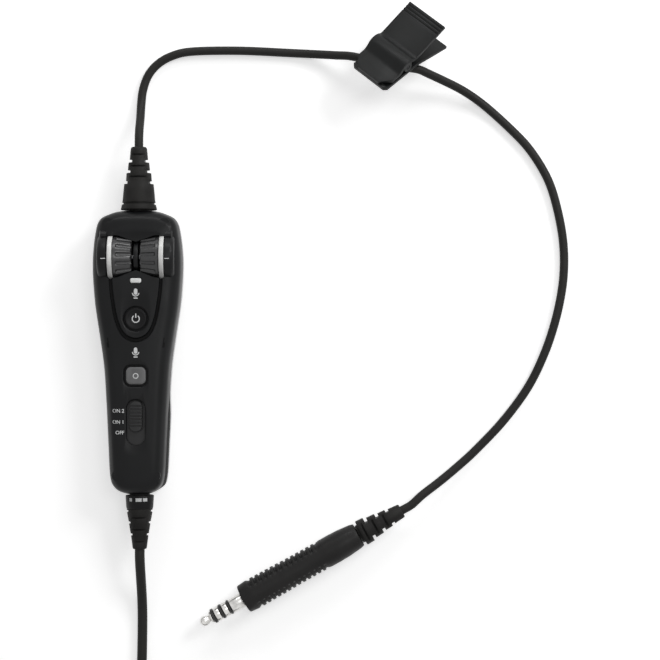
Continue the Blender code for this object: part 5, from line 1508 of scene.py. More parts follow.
@dataclass
class FaceControls:
    """The power button, the function button, the mode slider, the light window and the printed marks."""

    front: Piece
    face_z: float = Casing.face_z
    knob_y: float = -32.6
    flange_top: float = 21.9
    stem_low: float = 18.1
    stem_r: float = 1.4
    ink: float = 0.03
    letter_size: float = 2.4
    letter_weight: float = 0.04
    labels_right: float = -5.45
    labels: tuple[tuple[str, str, float], ...] = (
        ("label_two", "ON 2", -30.0),
        ("label_one", "ON 1", -35.3),
        ("label_off", "OFF", -40.4),
    )

    def cap(self, name: str, centre: Flat, outline: Growing, rows: Pairs) -> Piece:
        """A button cap on a flange and a stem.

        Args:
            name: The piece's name.
            centre: Its middle.
            outline: Gives the cap's outline, drawn in by a distance.
            rows: Heights and insets from the cap's foot to the middle of its top.

        Returns:
            The cap.
        """
        flange = [(self.flange_top - 0.7, -1.7), (self.flange_top, -1.7), (self.flange_top, 0.0)]
        cap = Bench.stacked(name, outline, [*flange, *rows])
        stem = Bench.slab("stem", disc(self.stem_r, centre, 24), self.stem_low, self.flange_top - 0.4)
        return Bench.boolean(cap, [stem], "UNION")

    def power_button(self) -> None:
        """The round button: a soft rim round a dished top, with the usual power sign."""
        z = self.face_z
        rows = [(z - 0.75, 0.0), (z - 0.42, 0.08), (z - 0.24, 0.3), (z - 0.2, 0.62), (z - 0.28, 1.0)]
        rows += [(z - 0.52, 1.5), (z - 0.7, 2.2), (z - 0.8, 3.2), (z - 0.83, 4.4), (z - 0.84, 5.2)]
        cap = self.cap("power_cap", POWER_AT, lambda inset: disc(5.2 - inset, POWER_AT, 64), rows)
        Bench.dressed(cap, KEY_BLACK_AND_PAINTED_SHADE, "power_key", Slot.CASING, "power_button", angle=45)
        base = z - 0.87
        bow = self.bent_bar(POWER_AT, 1.95, 1.45, math.radians(125), math.radians(415))
        bar = rounded_oblong(0.52, 2.1, 0.2, (POWER_AT[0], POWER_AT[1] + 1.5), 3)
        for name, outline in (("power_sign_arc", bow), ("power_sign_bar", bar)):
            Bench.dressed(Bench.slab(name, outline, base, base + 0.17), INK_WHITE_AND_PAINTED_GLINT, "power_key", Slot.WHITE)

    @staticmethod
    def bent_bar(centre: Flat, outer: float, inner: float, start: float, end: float) -> list[Flat]:
        """The outline of a bar bent round a centre, between two radii and two angles."""
        return arc(centre, outer, start, end, 30) + arc(centre, inner, start, end, 30)[::-1]

    def function_button(self) -> None:
        """The grey key with round corners and a plain ring on it."""
        z = self.face_z

        def outline(inset: float) -> list[Flat]:
            """The key drawn in by a distance, with corners that tighten less than that."""
            corner = max(0.3, 2.4 - 0.6 * inset)
            return rounded_oblong(9.4 - 2 * inset, 8.3 - 2 * inset, corner, FUNCTION_AT)

        rows = [(z - 0.7, 0.0), (z - 0.34, 0.08), (z - 0.16, 0.3), (z - 0.1, 0.7), (z - 0.12, 1.4)]
        cap = self.cap("function_cap", FUNCTION_AT, outline, [*rows, (z - 0.2, 2.4), (z - 0.24, 3.4)])
        Bench.dressed(cap, KEY_GREY, "function_key", Slot.KEY, "function_button", angle=45)
        # Painted shade: the grey key's flange is coloured black so that the gap round the key looks dark.
        cap.data.materials.append(KEY_BLACK_AND_PAINTED_SHADE.material())
        for face in cap.data.polygons:
            face.material_index = int(face.center.z < (self.flange_top + 0.05) * MM)
        ring = self.bent_bar(FUNCTION_AT, 1.35, 0.95, 0.0, math.tau * 0.999)
        sign = Bench.slab("function_sign", ring, z - 0.26, z - 0.19)
        Bench.dressed(sign, INK_WHITE_AND_PAINTED_GLINT, "function_key", Slot.WHITE)

    def slider(self) -> None:
        """The knob with its grip grooves, on the plate that closes the slot from inside."""
        top, foot, middle = self.face_z + 0.5, self.flange_top, self.knob_y
        rows = [(foot - 0.3, 0.0), (top - 0.75, 0.0), (top - 0.3, -0.12), (top - 0.05, -0.4), (top, -0.8)]
        knob = Bench.stacked("slider_knob", growing_oblong(6.4, 15.0, 2.9, (0.0, middle)), rows)
        plate = Bench.block("plate", (-5.2, middle - 15.0, foot - 0.8), (5.2, middle + 13.3, foot))
        stem = Bench.block("stem", (-1.1, middle - 1.9, self.stem_low + 0.2), (1.1, middle + 1.9, foot - 0.4))
        Bench.boolean(knob, [plate, stem], "UNION")
        grooves = []
        for number in range(7):
            y = middle + 5.1 - 1.6 * number
            half = ((0.25, top - 0.5), (0.4, top - 0.1), (0.55, top + 1.0))
            section = [(y - off, z) for off, z in reversed(half)] + [(y + off, z) for off, z in half]
            grooves.append(Bench.crossbar("grip", section, -6, 6))
        Bench.boolean(knob, grooves, "DIFFERENCE")
        Bench.dressed(knob, KNOB_BLACK, "mode_switch", Slot.CASING, "mode_slider")

    def window(self) -> None:
        """The white light window, slightly domed."""
        z = self.face_z
        rows = [(21.0, 1.0), (self.flange_top, 1.0), (self.flange_top, 0.0), (z - 0.08, 0.0)]
        rows += [(z + 0.05, -0.15), (z + 0.1, -0.5)]
        window = Bench.stacked("light_window", growing_oblong(5.2, 2.2, 0.8, LIGHT_AT), rows)
        Bench.dressed(window, WINDOW_WHITE, "module", Slot.WHITE, "status_window", angle=45)

    def printed(self, name: str, outline: Pairs) -> None:
        """A flat mark printed on the crowned face."""
        mark = Bench.laid_on(Bench.slab(name, outline, -self.ink, self.ink), self.front)
        Bench.dressed(mark, INK_WHITE_AND_PAINTED_GLINT, "module", Slot.WHITE)

    def icon(self, name: str, centre: Flat) -> None:
        """A plain microphone sign: a capsule in a cup on a foot.

        Args:
            name: What its three pieces' names start with.
            centre: Its middle.
        """
        x, y = centre
        self.printed(name + "_capsule", rounded_oblong(1.7, 3.0, 0.84, (x, y + 0.9), 6))
        self.printed(name + "_cup", self.bent_bar((x, y + 0.35), 1.75, 1.3, math.pi * 1.02, math.pi * 1.98))
        self.printed(name + "_foot", rounded_oblong(2.0, 0.55, 0.2, (x, y - 2.15), 3))

    def label(self, name: str, text: str, y: float) -> None:
        """Plain lettering beside the slot, set flush right.

        Args:
            name: The piece's name.
            text: What it says.
            y: Y of its middle.
        """
        bpy.ops.object.select_all(action="DESELECT")
        bpy.ops.object.text_add(location=(self.labels_right * MM, y * MM, 0.0))
        words = bpy.context.active_object
        words.name = name
        words.data.body = text
        words.data.align_x = "RIGHT"
        words.data.align_y = "CENTER"
        words.data.size = self.letter_size * MM
        words.data.offset = self.letter_weight * MM
        words.data.extrude = self.ink * MM
        bpy.ops.object.convert(target="MESH")
        bpy.ops.object.transform_apply(location=True, rotation=True, scale=True)
        Bench.dressed(Bench.laid_on(words, self.front), INK_WHITE_AND_PAINTED_GLINT, "module", Slot.WHITE)

    def tick(self, side: Side) -> None:
        """The white line on a cheek that the wheel's band is read against."""
        tick = Bench.strip("tick_" + side.name.lower(), side.span(14.0, 16.3), (42.9, 42.5), 0.05, 12)
        Bench.dressed(Bench.laid_on(tick, self.front), INK_WHITE_AND_PAINTED_GLINT, "module", Slot.WHITE)

    def build(self) -> None:
        """Makes every control and mark on the face."""
        self.power_button()
        self.function_button()
        self.slider()
        self.window()
        self.icon("upper_sign", (0.0, 26.1))
        self.icon("lower_sign", (0.0, -2.05))
        for name, text, y in self.labels:
            self.label(name, text, y)
        for side in Side:
            self.tick(side)


# Strain reliefs


@dataclass
class StrainRelief:
    """A rubber strain relief: a turned taper with notches at its sides and slots above and below."""

    name: str
    node: str
    place: Matrix
    profile: tuple[Flat, ...]
    notches: tuple[Flat, ...]
    slots: tuple[Flat, ...]
    notch_length: float
    slot_length: float
    cord_r: float
    bore_from: float
    reach: float = 12.0

    def cutters(self) -> list[Piece]:
        """The notches and slots, in the relief's own frame with its axis on X."""
        made, reach = [], self.reach
        for side in Side:
            for x, half in self.notches:
                near, far = side.span(half, reach)
                length = self.notch_length / 2
                made.append(Bench.block("notch", (x - length, near, -reach), (x + length, far, reach)))
            for x, half in self.slots:
                near, far = side.span(half, reach)
                length = self.slot_length / 2
                made.append(Bench.block("slot", (x - length, -reach, near), (x + length, reach, far)))
        return made

    def build(self) -> Piece:
        """Makes the relief, cut, open at its end for the cord and soft at every edge."""
        relief = Bench.turned(self.name, self.profile, 64)
        end = self.profile[-1][0]
        mouth = [(self.bore_from, self.cord_r), (end - 0.5, self.cord_r), (end + 0.5, self.cord_r + 0.6)]
        Bench.boolean(relief, [*self.cutters(), Bench.turned("mouth", mouth, 40)], "DIFFERENCE")
        Bench.softened(relief, 0.14, 2, 42)
        Bench.placed(relief, self.place)
        return Bench.dressed(relief, RELIEF_RUBBER, "module", Slot.RUBBER, self.node, angle=46)


@dataclass
class ModuleReliefs:
    """The two strain reliefs of the module, the lower one on its black collar with three painted glints in
    white.
    """

    collar_r: float = 6.75
    collar_length: float = 6.3
    # Painted glints: three white strips on the collar's top stand in for highlights on it; each is a middle
    # and a width across X, and all lie between the two places on Y below.
    marks: tuple[Flat, ...] = ((-3.0, 1.3), (0.95, 2.9), (3.95, 1.9))
    painted_glint_y: Flat = (-72.1, -73.7)

    def upper(self) -> Piece:
        """The longer relief of the plug cord."""
        root = ((-5.0, 6.6), (-3.8, 6.6), (-3.8, 4.9), (0.0, 4.9), (0.0, 8.55), (0.3, 8.75), (2.5, 8.2))
        neck = ((2.75, 7.5), (3.35, 7.4), (3.6, 8.05), (4.9, 7.8), (8.7, 7.5))
        taper = ((12.6, 7.1), (13.8, 6.25), (17.6, 6.0), (19.3, 5.35), (22.7, 5.0), (24.6, 4.4), (29.6, 3.95))
        return StrainRelief(
            "relief_of_plug_lead",
            "strain_relief_upper",
            Matrix.Translation(UPPER_RELIEF) @ Matrix.Rotation(math.pi / 2, 4, "Z"),
            (*root, *neck, *taper, (30.2, 3.6), (30.4, 3.3)),
            notches=((13.2, 5.1), (18.5, 3.7), (23.6, 2.9)),
            slots=((15.8, 4.3), (21.0, 3.5), (26.6, 2.9)),
            notch_length=1.6,
            slot_length=0.8,
            cord_r=2.35,
            bore_from=26.0,
        ).build()

    def lower(self) -> Piece:
        """The shorter relief of the headset cord."""
        root = ((-5.0, 6.6), (-3.8, 6.6), (-3.8, 4.9), (0.0, 4.9), (0.0, 6.2), (6.5, 6.1))
        taper = ((6.6, 6.3), (9.0, 6.0), (13.0, 5.25), (16.4, 4.75), (19.5, 4.2), (25.4, 3.45))
        return StrainRelief(
            "relief_of_headset_lead",
            "strain_relief_lower",
            Matrix.Translation(LOWER_RELIEF) @ Matrix.Rotation(-math.pi / 2, 4, "Z"),
            (*root, *taper, (25.9, 3.2)),
            notches=((7.6, 5.2), (13.2, 4.2), (19.0, 3.3)),
            slots=((10.6, 4.4), (16.4, 3.5), (22.2, 2.9)),
            notch_length=1.2,
            slot_length=0.7,
            cord_r=2.6,
            bore_from=22.0,
        ).build()

    def collar(self) -> Piece:
        """The black collar next to the case, with three white strips on top that are painted glints."""
        end, r = self.collar_length, self.collar_r
        loop = [(0.05, 6.28), (0.05, r), (0.25, r + 0.1), (end - 0.35, r - 0.25), (end, r - 0.5), (end, 6.28)]
        collar = Bench.turned("relief_collar", loop, 72, hoop=True)
        Bench.placed(collar, Matrix.Translation(LOWER_RELIEF) @ Matrix.Rotation(-math.pi / 2, 4, "Z"))
        Bench.dressed(collar, KEY_BLACK_AND_PAINTED_SHADE, "module", Slot.CASING)
        for number, (middle, width) in enumerate(self.marks, 1):
            span = (middle - width / 2, middle + width / 2)
            # Each strip is a painted glint, laid on the collar in white.
            mark = Bench.strip(f"collar_painted_glint_{number}", span, self.painted_glint_y, 0.03, 8)
            Bench.dressed(Bench.laid_on(mark, collar), INK_WHITE_AND_PAINTED_GLINT, "module", Slot.WHITE)
        return collar

    def build(self) -> None:
        """Makes both reliefs and the collar."""
        self.upper()
        self.lower()
        self.collar()


# Garment clip


@dataclass
class GarmentClip:
    """The sprung clip: a sleeve on the cord and two bent-plate jaws on one pin."""

    place: ClipFrame = field(default_factory=ClipFrame)
    upper_half: float = 11.65
    lower_half: float = 11.35
    front_y: float = -15.8
    pin: Flat = (-0.2, 8.6)
    pin_fit_r: float = 1.0
    spring_r: float = 1.4
    spring_half: float = 2.5
    spring_turns: int = 4
    spring_wire: float = 0.7
    tab_end: Flat = (24.6, 16.6)
    crease: Flat = (4.9, 10.9)

    def plate(self, name: str, outside: Pairs, inside: Pairs, half: float) -> Piece:
        """A bent plate, from its outer side from front to tab and its inner side back again."""
        return Bench.crossbar(name, smooth_line(outside, 5) + smooth_line(inside, 5), -half, half)

    def ears(self, near: float, far: float, radius: float, foot: float) -> list[Piece]:
        """The two ears of a jaw.

        Args:
            near: Their inner face, from the middle.
            far: Their outer face.
            radius: Their radius round the pin.
            foot: The height where they meet their jaw.

        Returns:
            The ears.
        """
        y, z = self.pin
        start = 0.0 if foot < z else math.pi
        ear = arc((y, z), radius, start, start + math.pi, 20)
        ear += [(ear[-1][0], foot), (ear[0][0], foot)]
        return [Bench.crossbar("ear", ear, *side.span(near, far)) for side in Side]

    def pin_hole(self) -> Piece:
        """A cutter on the hinge axis."""
        rod = Bench.turned("pin_hole", [(-20, self.pin_fit_r), (20, self.pin_fit_r)], 32)
        return Bench.placed(rod, Matrix.Translation((0, *self.pin)))

    def corners(self, half: float, size: float) -> list[Piece]:
        """Cutters that take the two front corners off a jaw.

        Args:
            half: Half the jaw's width.
            size: How much of each edge goes.

        Returns:
            The two cutters.
        """
        made = []
        for side in Side:
            cut = [(half + 1, -1.0), (half + 1, size), (half, size), (half - size, 0.0), (half - size, -1.0)]
            outline = [(side.value * x, self.front_y + y) for x, y in cut]
            made.append(Bench.slab("corner", outline, -2, 20))
        return made

    def tab_grooves(self) -> list[Piece]:
        """Cutters of the three grooves across the finger tab."""
        start, end = Vector((0, *self.crease)), Vector((0, *self.tab_end))
        slope = (end - start).normalized()
        up = Vector((0, -slope.z, slope.y))
        made = []
        for back in (1.7, 3.4, 5.1):
            middle = end - slope * back
            ring = [middle - slope * 0.3 - up * 0.35, middle + slope * 0.3 - up * 0.35]
            ring += [middle + slope * 0.75 + up * 0.6, middle - slope * 0.75 + up * 0.6]
            made.append(Bench.crossbar("groove", [(p.y, p.z) for p in ring], -20, 20))
        return made

    def upper_jaw(self) -> Piece:
        """The upper jaw: a flat front, a hump over the spring, a crease and a ribbed finger tab."""
        outside = [(self.front_y, 8.0), (-9.2, 8.6), (-6.4, 8.95), (-4.6, 10.1), (-2.4, 11.9), (0.0, 12.5)]
        outside += [(2.4, 12.15), (4.0, 11.15), (5.4, 10.95), (8.0, 11.7), (16.0, 14.05), self.tab_end]
        inside = [(25.1, 15.0), (16.4, 12.5), (8.4, 10.15), (5.6, 9.4), (3.8, 9.5), (2.0, 10.5), (0.0, 10.9)]
        inside += [(-1.6, 10.5), (-3.4, 8.9), (-5.6, 7.35), (-9.0, 7.0), (self.front_y, 6.4)]
        jaw = self.plate("upper_jaw", outside, inside, self.upper_half)
        Bench.boolean(jaw, self.ears(10.3, 11.6, 2.5, 11.2), "UNION")
        cutters = [*self.corners(self.upper_half, 5.0), self.pin_hole(), *self.tab_grooves()]
        Bench.boolean(jaw, cutters, "DIFFERENCE")
        Bench.softened(jaw, 0.34, 3, 42)
        Bench.placed(jaw, self.place.matrix())
        return Bench.dressed(jaw, CLIP_BLACK, "clip_upper", Slot.CLIP, "clip_upper_jaw", angle=40)

    def lower_jaw(self) -> Piece:
        """The lower jaw: a plate with a lip in front, a tab bent towards the cord and two ears."""
        outside = [(self.front_y, 3.9), (-6.0, 3.9), (4.5, 3.9), (8.5, 3.4), (16.5, 1.4), (25.7, -0.8)]
        inside = [(26.0, 0.8), (17.0, 3.0), (8.6, 5.0), (4.6, 5.5), (-6.0, 5.5), (-12.4, 5.5)]
        side_view = smooth_line(outside, 4) + smooth_line(inside, 4)
        side_view += [(-13.8, 5.5), (-14.4, 6.1), (self.front_y, 6.1)]
        jaw = Bench.crossbar("lower_jaw", side_view, -self.lower_half, self.lower_half)
        Bench.boolean(jaw, self.ears(8.65, 9.95, 2.1, 4.9), "UNION")
        hole = Bench.slab("swivel_hole", disc(1.9, (0, 0), 40), 2.9, 5.6)
        Bench.boolean(jaw, [*self.corners(self.lower_half, 1.5), hole, self.pin_hole()], "DIFFERENCE")
        Bench.softened(jaw, 0.3, 3, 42)
        Bench.placed(jaw, self.place.matrix())
        return Bench.dressed(jaw, CLIP_BLACK, "clip_lower", Slot.CLIP, "clip_lower_jaw", angle=40)

    def leaving(self, spot: Flat, side: int) -> float:
        """Where round the spring's turns a straight arm from a place in y and z leaves them."""
        y, z = spot[0] - self.pin[0], spot[1] - self.pin[1]
        return math.atan2(z, y) + side * math.acos(self.spring_r / math.hypot(y, z))

    def spring(self) -> Piece:
        """The torsion spring: one arm on each jaw, and turns that wind up between them."""
        half, steps = self.spring_half, 28 * self.spring_turns
        tab_arm, jaw_arm = (10.5, 10.2), (5.5, 6.15)
        start = self.leaving(tab_arm, -1)
        total = math.tau * self.spring_turns + start - self.leaving(jaw_arm, 1)
        line = [Vector((-half, *tab_arm))]
        for i in range(steps + 1):
            share = i / steps
            t = start - total * share
            y, z = self.pin[0] + self.spring_r * math.cos(t), self.pin[1] + self.spring_r * math.sin(t)
            line.append(Vector((half * (2 * share - 1), y, z)))
        line.append(Vector((half, *jaw_arm)))
        place = self.place.matrix()
        spring = cord_curve("jaw_spring", [place @ spot for spot in line], self.spring_wire)
        Bench.pick(spring)
        bpy.ops.object.convert(target="MESH")
        spring = bpy.context.active_object
        bpy.ops.object.shade_smooth_by_angle(angle=math.radians(50))
        spring.data.materials.clear()
        spring.data.materials.append(DARK_STEEL.material())
        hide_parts("clip_spring")
        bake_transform(spring)
        LOG.info("jaw_spring winds between the jaws")
        return spring

    def holder(self) -> Piece:
        """The sleeve on the cord, with the rivet that the lower jaw swivels on."""
        along = Matrix.Rotation(self.place.cord_across, 4, "Z")
        profile = [(-3.8, 3.1), (-3.6, 3.4), (-3.2, 3.5), (3.2, 3.5), (3.6, 3.4), (3.8, 3.1)]
        holder = Bench.placed(Bench.turned("cord_sleeve", profile, 56), along)
        Bench.boolean(holder, [Bench.slab("post", disc(1.6, (0, 0), 40), 2.6, 6.0)], "UNION")
        rows = [(5.8, 2.2), (5.85, 2.45), (6.0, 2.5), (6.15, 2.4), (6.3, 1.9)]
        Bench.boolean(holder, [Bench.stacked("rivet", lambda r: disc(r, count=40), rows)], "UNION")
        bore = Bench.placed(Bench.turned("bore", [(-8, 2.5), (8, 2.5)], 48), along)
        Bench.boolean(holder, [bore], "DIFFERENCE")
        Bench.placed(holder, self.place.matrix())
        return Bench.dressed(holder, CLIP_BLACK, "module", Slot.CLIP, "clip_cord_holder", angle=46)

    def build(self) -> list[Piece]:
        """Makes the holder, both jaws and their spring."""
        return [self.holder(), self.lower_jaw(), self.upper_jaw(), self.spring()]


# Plug


@dataclass
class FourContactPlug:
    """The helicopter plug: a ribbed rubber handle, a slotted tail and four contacts on one core."""

    place: PlugFrame = field(default_factory=PlugFrame)
    radii: tuple[Flat, ...] = (
        (0.0, 7.1), (6.0, 7.55), (18.0, 7.4), (30.0, 7.15), (44.0, 7.1),
        (50.0, 7.15), (55.0, 7.0), (58.5, 6.7), (62.0, 6.3), (64.0, 5.9),
    )
    ribs: int = 13
    first_rib: float = 6.0
    rib_pitch: float = 2.8
    rib_depth: float = 0.9
    around: int = 72
    shaft_r: float = 3.57
    bore_r: float = 1.9
    core_r: float = 1.6
    contacts: tuple[tuple[str, str, float, float], ...] = (
        ("contact_sleeve", "plug_sleeve", -7.0, -0.3),
        ("contact_rear", "plug_ring_rear", -11.2, -8.6),
        ("contact_front", "plug_ring_front", -15.6, -13.0),
    )

    def radius(self, axial: float) -> float:
        """The handle's radius at a place along it.

        Args:
            axial: The place, from the front face.

        Returns:
            The radius, eased from one given place to the next.
        """
        for (a, low), (b, high) in zip(self.radii, self.radii[1:]):
            if axial <= b:
                return low + (high - low) * eased((axial - a) / (b - a))
        return self.radii[-1][1]

    def ring(self, axial: float, groove: float, inset: float = 0.0) -> list[Point]:
        """A ring of the handle, whose grooves lie on its two sides only.

        Args:
            axial: Its place along the axis.
            groove: How deep the grooves are here.
            inset: How far the whole ring is drawn in.

        Returns:
            The ring's points.
        """
        points = []
        for i in range(self.around):
            t = math.tau * i / self.around
            r = self.radius(axial) - inset - groove * eased((abs(math.cos(t)) - 0.5) / 0.2)
            points.append((axial, r * math.cos(t), r * math.sin(t)))
        return points

    def handle(self) -> Piece:
        """The handle, ribbed where fingers hold it."""
        rings = [self.ring(0.0, 0.0, 0.45), self.ring(0.12, 0.0, 0.15)]
        rings += [self.ring(0.5, 0.0), self.ring(4.8, 0.0)]
        tooth = ((0.0, 0.8), (0.12, 1.0), (0.85, 1.0), (1.0, 0.8))
        tooth += ((1.2, 0.12), (1.35, 0.0), (2.45, 0.0), (2.62, 0.14))
        last = ((0.0, 0.8), (0.7, 0.8), (1.6, 0.2))
        for rib in range(self.ribs + 1):
            start = self.first_rib + rib * self.rib_pitch
            shape = tooth if rib < self.ribs else last
            rings += [self.ring(start + along, self.rib_depth * low) for along, low in shape]
        rings += [self.ring(a, 0.0) for a in (45.5, 48.0, 50.5, 53.0, 55.5, 58.0, 60.0, 62.0, 63.4)]
        rings += [self.ring(63.8, 0.0, 0.1), self.ring(64.0, 0.0, 0.4)]
        handle = Bench.pulled("plug_grip", rings)
        Bench.boolean(handle, [Bench.turned("bore", [(13.5, 2.35), (70, 2.35)], 40)], "DIFFERENCE")
        Bench.placed(handle, self.place.matrix())
        return Bench.dressed(handle, HANDLE_RUBBER, "module", Slot.RUBBER, "plug_handle", angle=50)

    def tail(self) -> Piece:
        """The slotted strain relief behind the handle."""
        profile = ((0.0, 4.6), (1.2, 4.6), (1.2, 6.2), (1.5, 6.4), (5.2, 6.25), (6.6, 5.45), (11.0, 5.15))
        profile += ((12.2, 4.6), (16.4, 4.4), (17.6, 3.95), (23.1, 3.5), (23.5, 3.3), (23.7, 3.0))
        return StrainRelief(
            "plug_relief",
            "plug_tail",
            self.place.matrix() @ Matrix.Translation((64.3, 0, 0)),
            profile,
            notches=((6.0, 3.4), (11.8, 2.9), (17.2, 2.8)),
            slots=((3.4, 4.0), (8.8, 3.4), (14.4, 2.9)),
            notch_length=1.6,
            slot_length=1.0,
            cord_r=2.35,
            bore_from=-1.0,
        ).build()

    def contact(self, name: str, node: str, low: float, high: float) -> Piece:
        """One ring contact with broken edges.

        Args:
            name: The piece's name.
            node: The solid that it stands for.
            low: Its end towards the tip, along the axis.
            high: Its end towards the handle.

        Returns:
            The contact.
        """
        r = self.shaft_r
        loop = [(low, self.bore_r), (low, r - 0.28), (low + 0.12, r - 0.09), (low + 0.3, r)]
        loop += [(high - 0.3, r), (high - 0.12, r - 0.09), (high, r - 0.28), (high, self.bore_r)]
        ring = Bench.placed(Bench.turned(name, loop, 72, hoop=True), self.place.matrix())
        return Bench.dressed(ring, NICKEL, "module", Slot.CONTACT, node, angle=40)

    def core(self) -> Piece:
        """The insulating core with its three raised collars."""
        r = self.shaft_r + 0.15
        profile = []
        for low, high in ((-17.2, -15.9), (-12.7, -11.5), (-8.3, -7.3)):
            profile += [(low, self.core_r), (low, r - 0.2), (low + 0.15, r)]
            profile += [(high - 0.15, r), (high, r - 0.2), (high, self.core_r)]
        core = Bench.turned("contact_core", [*profile[1:], (-0.3, self.core_r)], 64)
        Bench.placed(core, self.place.matrix())
        return Bench.dressed(core, COLLAR_BLACK, "module", Slot.INSULATOR, "plug_insulator", angle=40)

    def tip(self) -> Piece:
        """The tip contact: a shoulder, a waist that the socket's spring catches, and a round nose."""
        shoulder = [(-17.5, 2.5), (-17.6, 2.85), (-17.9, 2.95), (-18.3, 2.75)]
        nose = [(-19.0, 1.95), (-19.5, 1.75), (-20.2, 2.05), (-21.2, 2.4), (-22.2, 2.35), (-23.1, 1.85)]
        nose += [(-23.7, 1.1), (-24.0, 0.3)]
        tip = Bench.turned("contact_tip", smooth_line([*shoulder, *nose], 4), 64)
        Bench.placed(tip, self.place.matrix())
        return Bench.dressed(tip, NICKEL, "module", Slot.CONTACT, "plug_tip", angle=50)

    def build(self) -> list[Piece]:
        """Makes the whole plug."""
        made = [self.handle(), self.tail(), self.core(), self.tip()]
        return made + [self.contact(*row) for row in self.contacts]


# Headset connector and coil strap


@dataclass
class HeadsetConnector:
    """The connector at the far end of the headset cord, under the photograph's edge."""

    origin: Point = (73.0, -225.73, 4.5)
    width: float = 20.0
    height: float = 8.8
    corner: float = 2.4
    screw_y: float = 7.3
    screw_bore_r: float = 1.5
    face: float = 22.3

    def housing(self) -> Piece:
        """The moulded hood, with grip lines and windows for the jack screws."""
        rows = smooth_line([(0.0, 0.6), (1.2, 0.72), (4.0, 0.9), (8.0, 1.0), (12.0, 1.0), (22.0, 1.0)], 4)
        rings = []
        for x, share in rows:
            outline = rounded_oblong(self.width * share, self.height * (0.5 + share / 2), self.corner)
            rings.append([(x, y, z) for y, z in outline])
        hood = Bench.pulled("connector_hood", rings)
        cutters = []
        for side in Side:
            bore = Bench.turned("bore", [(9.0, self.screw_bore_r), (40, self.screw_bore_r)], 32)
            cutters.append(Bench.placed(bore, Matrix.Translation((0, side.value * self.screw_y, 0))))
            near, far = side.span(8.5, 30)
            cutters.append(Bench.block("window", (11.0, near, -2.2), (16.0, far, 2.2)))
            for number in range(5):
                x = 3.6 + 1.2 * number
                low, high = side.span(4.15, 9)
                cutters.append(Bench.block("grip", (x - 0.25, -3.4, low), (x + 0.25, 3.4, high)))
        Bench.boolean(hood, cutters, "DIFFERENCE")
        Bench.softened(hood, 0.2, 2, 42)
        Bench.placed(hood, Matrix.Translation(self.origin))
        return Bench.dressed(hood, CASE_BLACK, "module", Slot.CASING, "connector_housing", angle=40)

    def insulator(self) -> Piece:
        """The block that the pins stand in, with a well round each."""
        rows = [(self.face, 0.0), (self.face + 2.2, 0.0), (self.face + 2.5, 0.12), (self.face + 2.6, 0.35)]
        rings = []
        for x, inset in rows:
            outline = rounded_oblong(11.0 - 2 * inset, 6.0 - 2 * inset, 1.0 - inset)
            rings.append([(x, y, z) for y, z in outline])
        block = Bench.placed(Bench.pulled("pin_block", rings), Matrix.Translation(self.origin))
        wells = []
        for number in range(1, 7):
            low, high = (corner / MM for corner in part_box(f"connector_pin_{number}"))
            radius = (high.y - low.y) / 2 + FIT_GAP
            well = Bench.turned("well", [(self.face + 0.7, radius), (self.face + 9, radius)], 32)
            place = Vector((self.origin[0], (low.y + high.y) / 2, (low.z + high.z) / 2))
            wells.append(Bench.placed(well, Matrix.Translation(place)))
        Bench.boolean(block, wells, "DIFFERENCE")
        return Bench.dressed(block, COLLAR_BLACK, "module", Slot.INSULATOR, "connector_insulator")

    def relief(self) -> Piece:
        """The connector's own short strain relief."""
        profile = ((0.3, 4.3), (1.2, 4.3), (3.0, 4.1), (7.0, 3.75), (12.6, 3.4), (12.9, 3.25), (13.0, 3.1))
        return StrainRelief(
            "connector_boot",
            "connector_relief",
            Matrix.Translation(self.origin) @ Matrix.Rotation(math.pi, 4, "Z"),
            profile,
            notches=((9.6, 2.95), (5.4, 2.95)),
            slots=((7.5, 2.95), (3.4, 3.0)),
            notch_length=1.2,
            slot_length=0.8,
            cord_r=2.55,
            bore_from=11.0,
        ).build()

    def build(self) -> list[Piece]:
        """Makes the hood, the pin block and the boot."""
        return [self.housing(), self.insulator(), self.relief()]


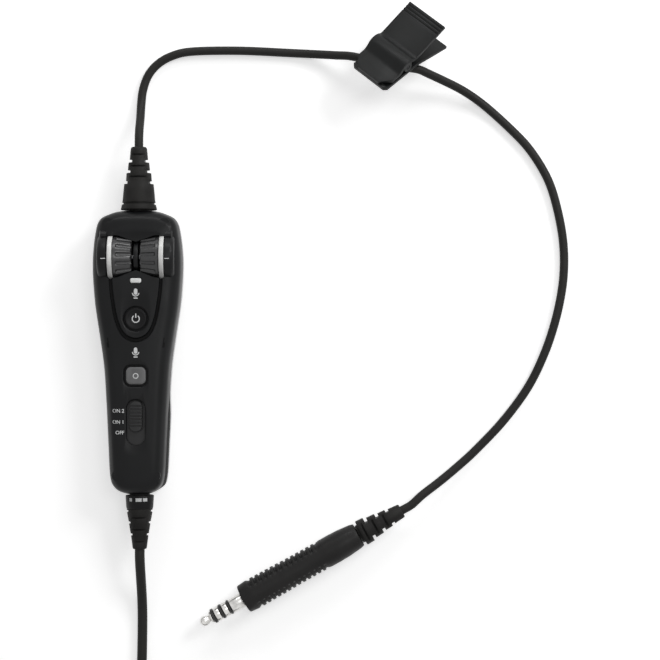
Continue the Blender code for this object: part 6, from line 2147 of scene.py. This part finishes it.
@dataclass
class CoilStrap:
    """The hook-and-loop strap that holds the coiled cord."""

    middle: Point = (61.8, -192.0, 0.0)
    width: float = 17.0
    height: float = 11.35
    thickness: float = 0.6
    half_length: float = 7.0

    def build(self) -> Piece:
        """Makes the loop with its overlapping end, soft at every edge."""
        grown = 2 * self.thickness
        centre = (0.0, self.thickness + self.height / 2)
        hole = rounded_oblong(self.width, self.height, 2.2, centre, 6)
        skin = rounded_oblong(self.width + grown, self.height + grown, 2.8, centre, 6)
        rings = []
        for y, outline in ((-1, hole), (-1, skin), (1, skin), (1, hole)):
            rings.append([(self.middle[0] + x, self.middle[1] + y * self.half_length, z) for x, z in outline])
        strap = Bench.pulled("coil_strap", rings, hoop=True)
        low, high = self.middle[0] - 4.3, self.middle[0] + 3.4
        reach = self.half_length - 0.4
        top = 2 * self.thickness + self.height - 0.2
        rows = [(low, 0.1), (low + 0.5, 0.55), (high - 0.9, 0.9), (high - 0.2, 0.75), (high, 0.25)]
        rings = []
        for x, up in rows:
            section = ((-1, top - 0.3), (1, top - 0.3), (1, top + up), (-1, top + up))
            rings.append([(x, self.middle[1] + y * reach, z) for y, z in section])
        flap = Bench.pulled("flap", rings)
        Bench.boolean(strap, [flap], "UNION")
        Bench.softened(strap, 0.12, 2, 42)
        return Bench.dressed(strap, STRAP_FABRIC, "module", Slot.RUBBER, "coil_tie", angle=46)


# The solids that keep their CAD shape


@dataclass
class InnerWorks:
    """What is inside the module, and the small fasteners: their CAD shape stays and gets its real finish."""

    finishes: dict[str, Finish] = field(
        default_factory=lambda: {
            "battery_cell_left": CELL_LEFT,
            "battery_cell_right": CELL_RIGHT,
            "cell_contact": NICKEL,
            "bridge_contact": NICKEL,
            "circuit_board": BOARD_GREEN,
            "power_switch": STEEL,
            "function_switch": STEEL,
            "slide_switch": STEEL,
            "volume_pot": STEEL,
            "wheel_shaft": STEEL,
            "case_screw": STEEL,
            "door_hinge_pin": STEEL,
            "connector_pin": GOLD,
            "jack_screw": STEEL,
            "clip_pin": DARK_STEEL,
        }
    )

    def build(self) -> None:
        """Gives each node that still shows its finish."""
        for name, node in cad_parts.items():
            if node.hide_render:
                continue
            for start, finish in self.finishes.items():
                if name.startswith(start):
                    node.data.materials.clear()
                    node.data.materials.append(finish.material())
                    LOG.info("%s keeps its shape, in %s", name, finish.name)
                    break
            else:
                LOG.warning("%s has no finish", name)


def main() -> None:
    """Builds each sub-assembly in order."""
    logging.basicConfig(level=logging.INFO, format="%(name)s: %(message)s", stream=sys.stdout)
    Studio().build()
    plug_cord, headset_cord = PlugCord(), HeadsetCord()
    plug_lead = plug_cord.build()
    headset_lead = headset_cord.build()
    front = Casing().build()
    VolumeWheels().build()
    FaceControls(front).build()
    ModuleReliefs().build()
    on_plug = [*GarmentClip().build(), *FourContactPlug().build()]
    on_headset = [*HeadsetConnector().build(), CoilStrap().build()]
    InnerWorks().build()
    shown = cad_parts
    on_plug.append(shown["clip_pin"])
    on_headset += [shown[f"connector_pin_{number}"] for number in range(1, 7)]
    on_headset += [shown["jack_screw_left"], shown["jack_screw_right"]]
    plug_cord.declare(plug_lead, on_plug)
    headset_cord.declare(headset_lead, on_headset)


if __name__ == "__main__":
    main()
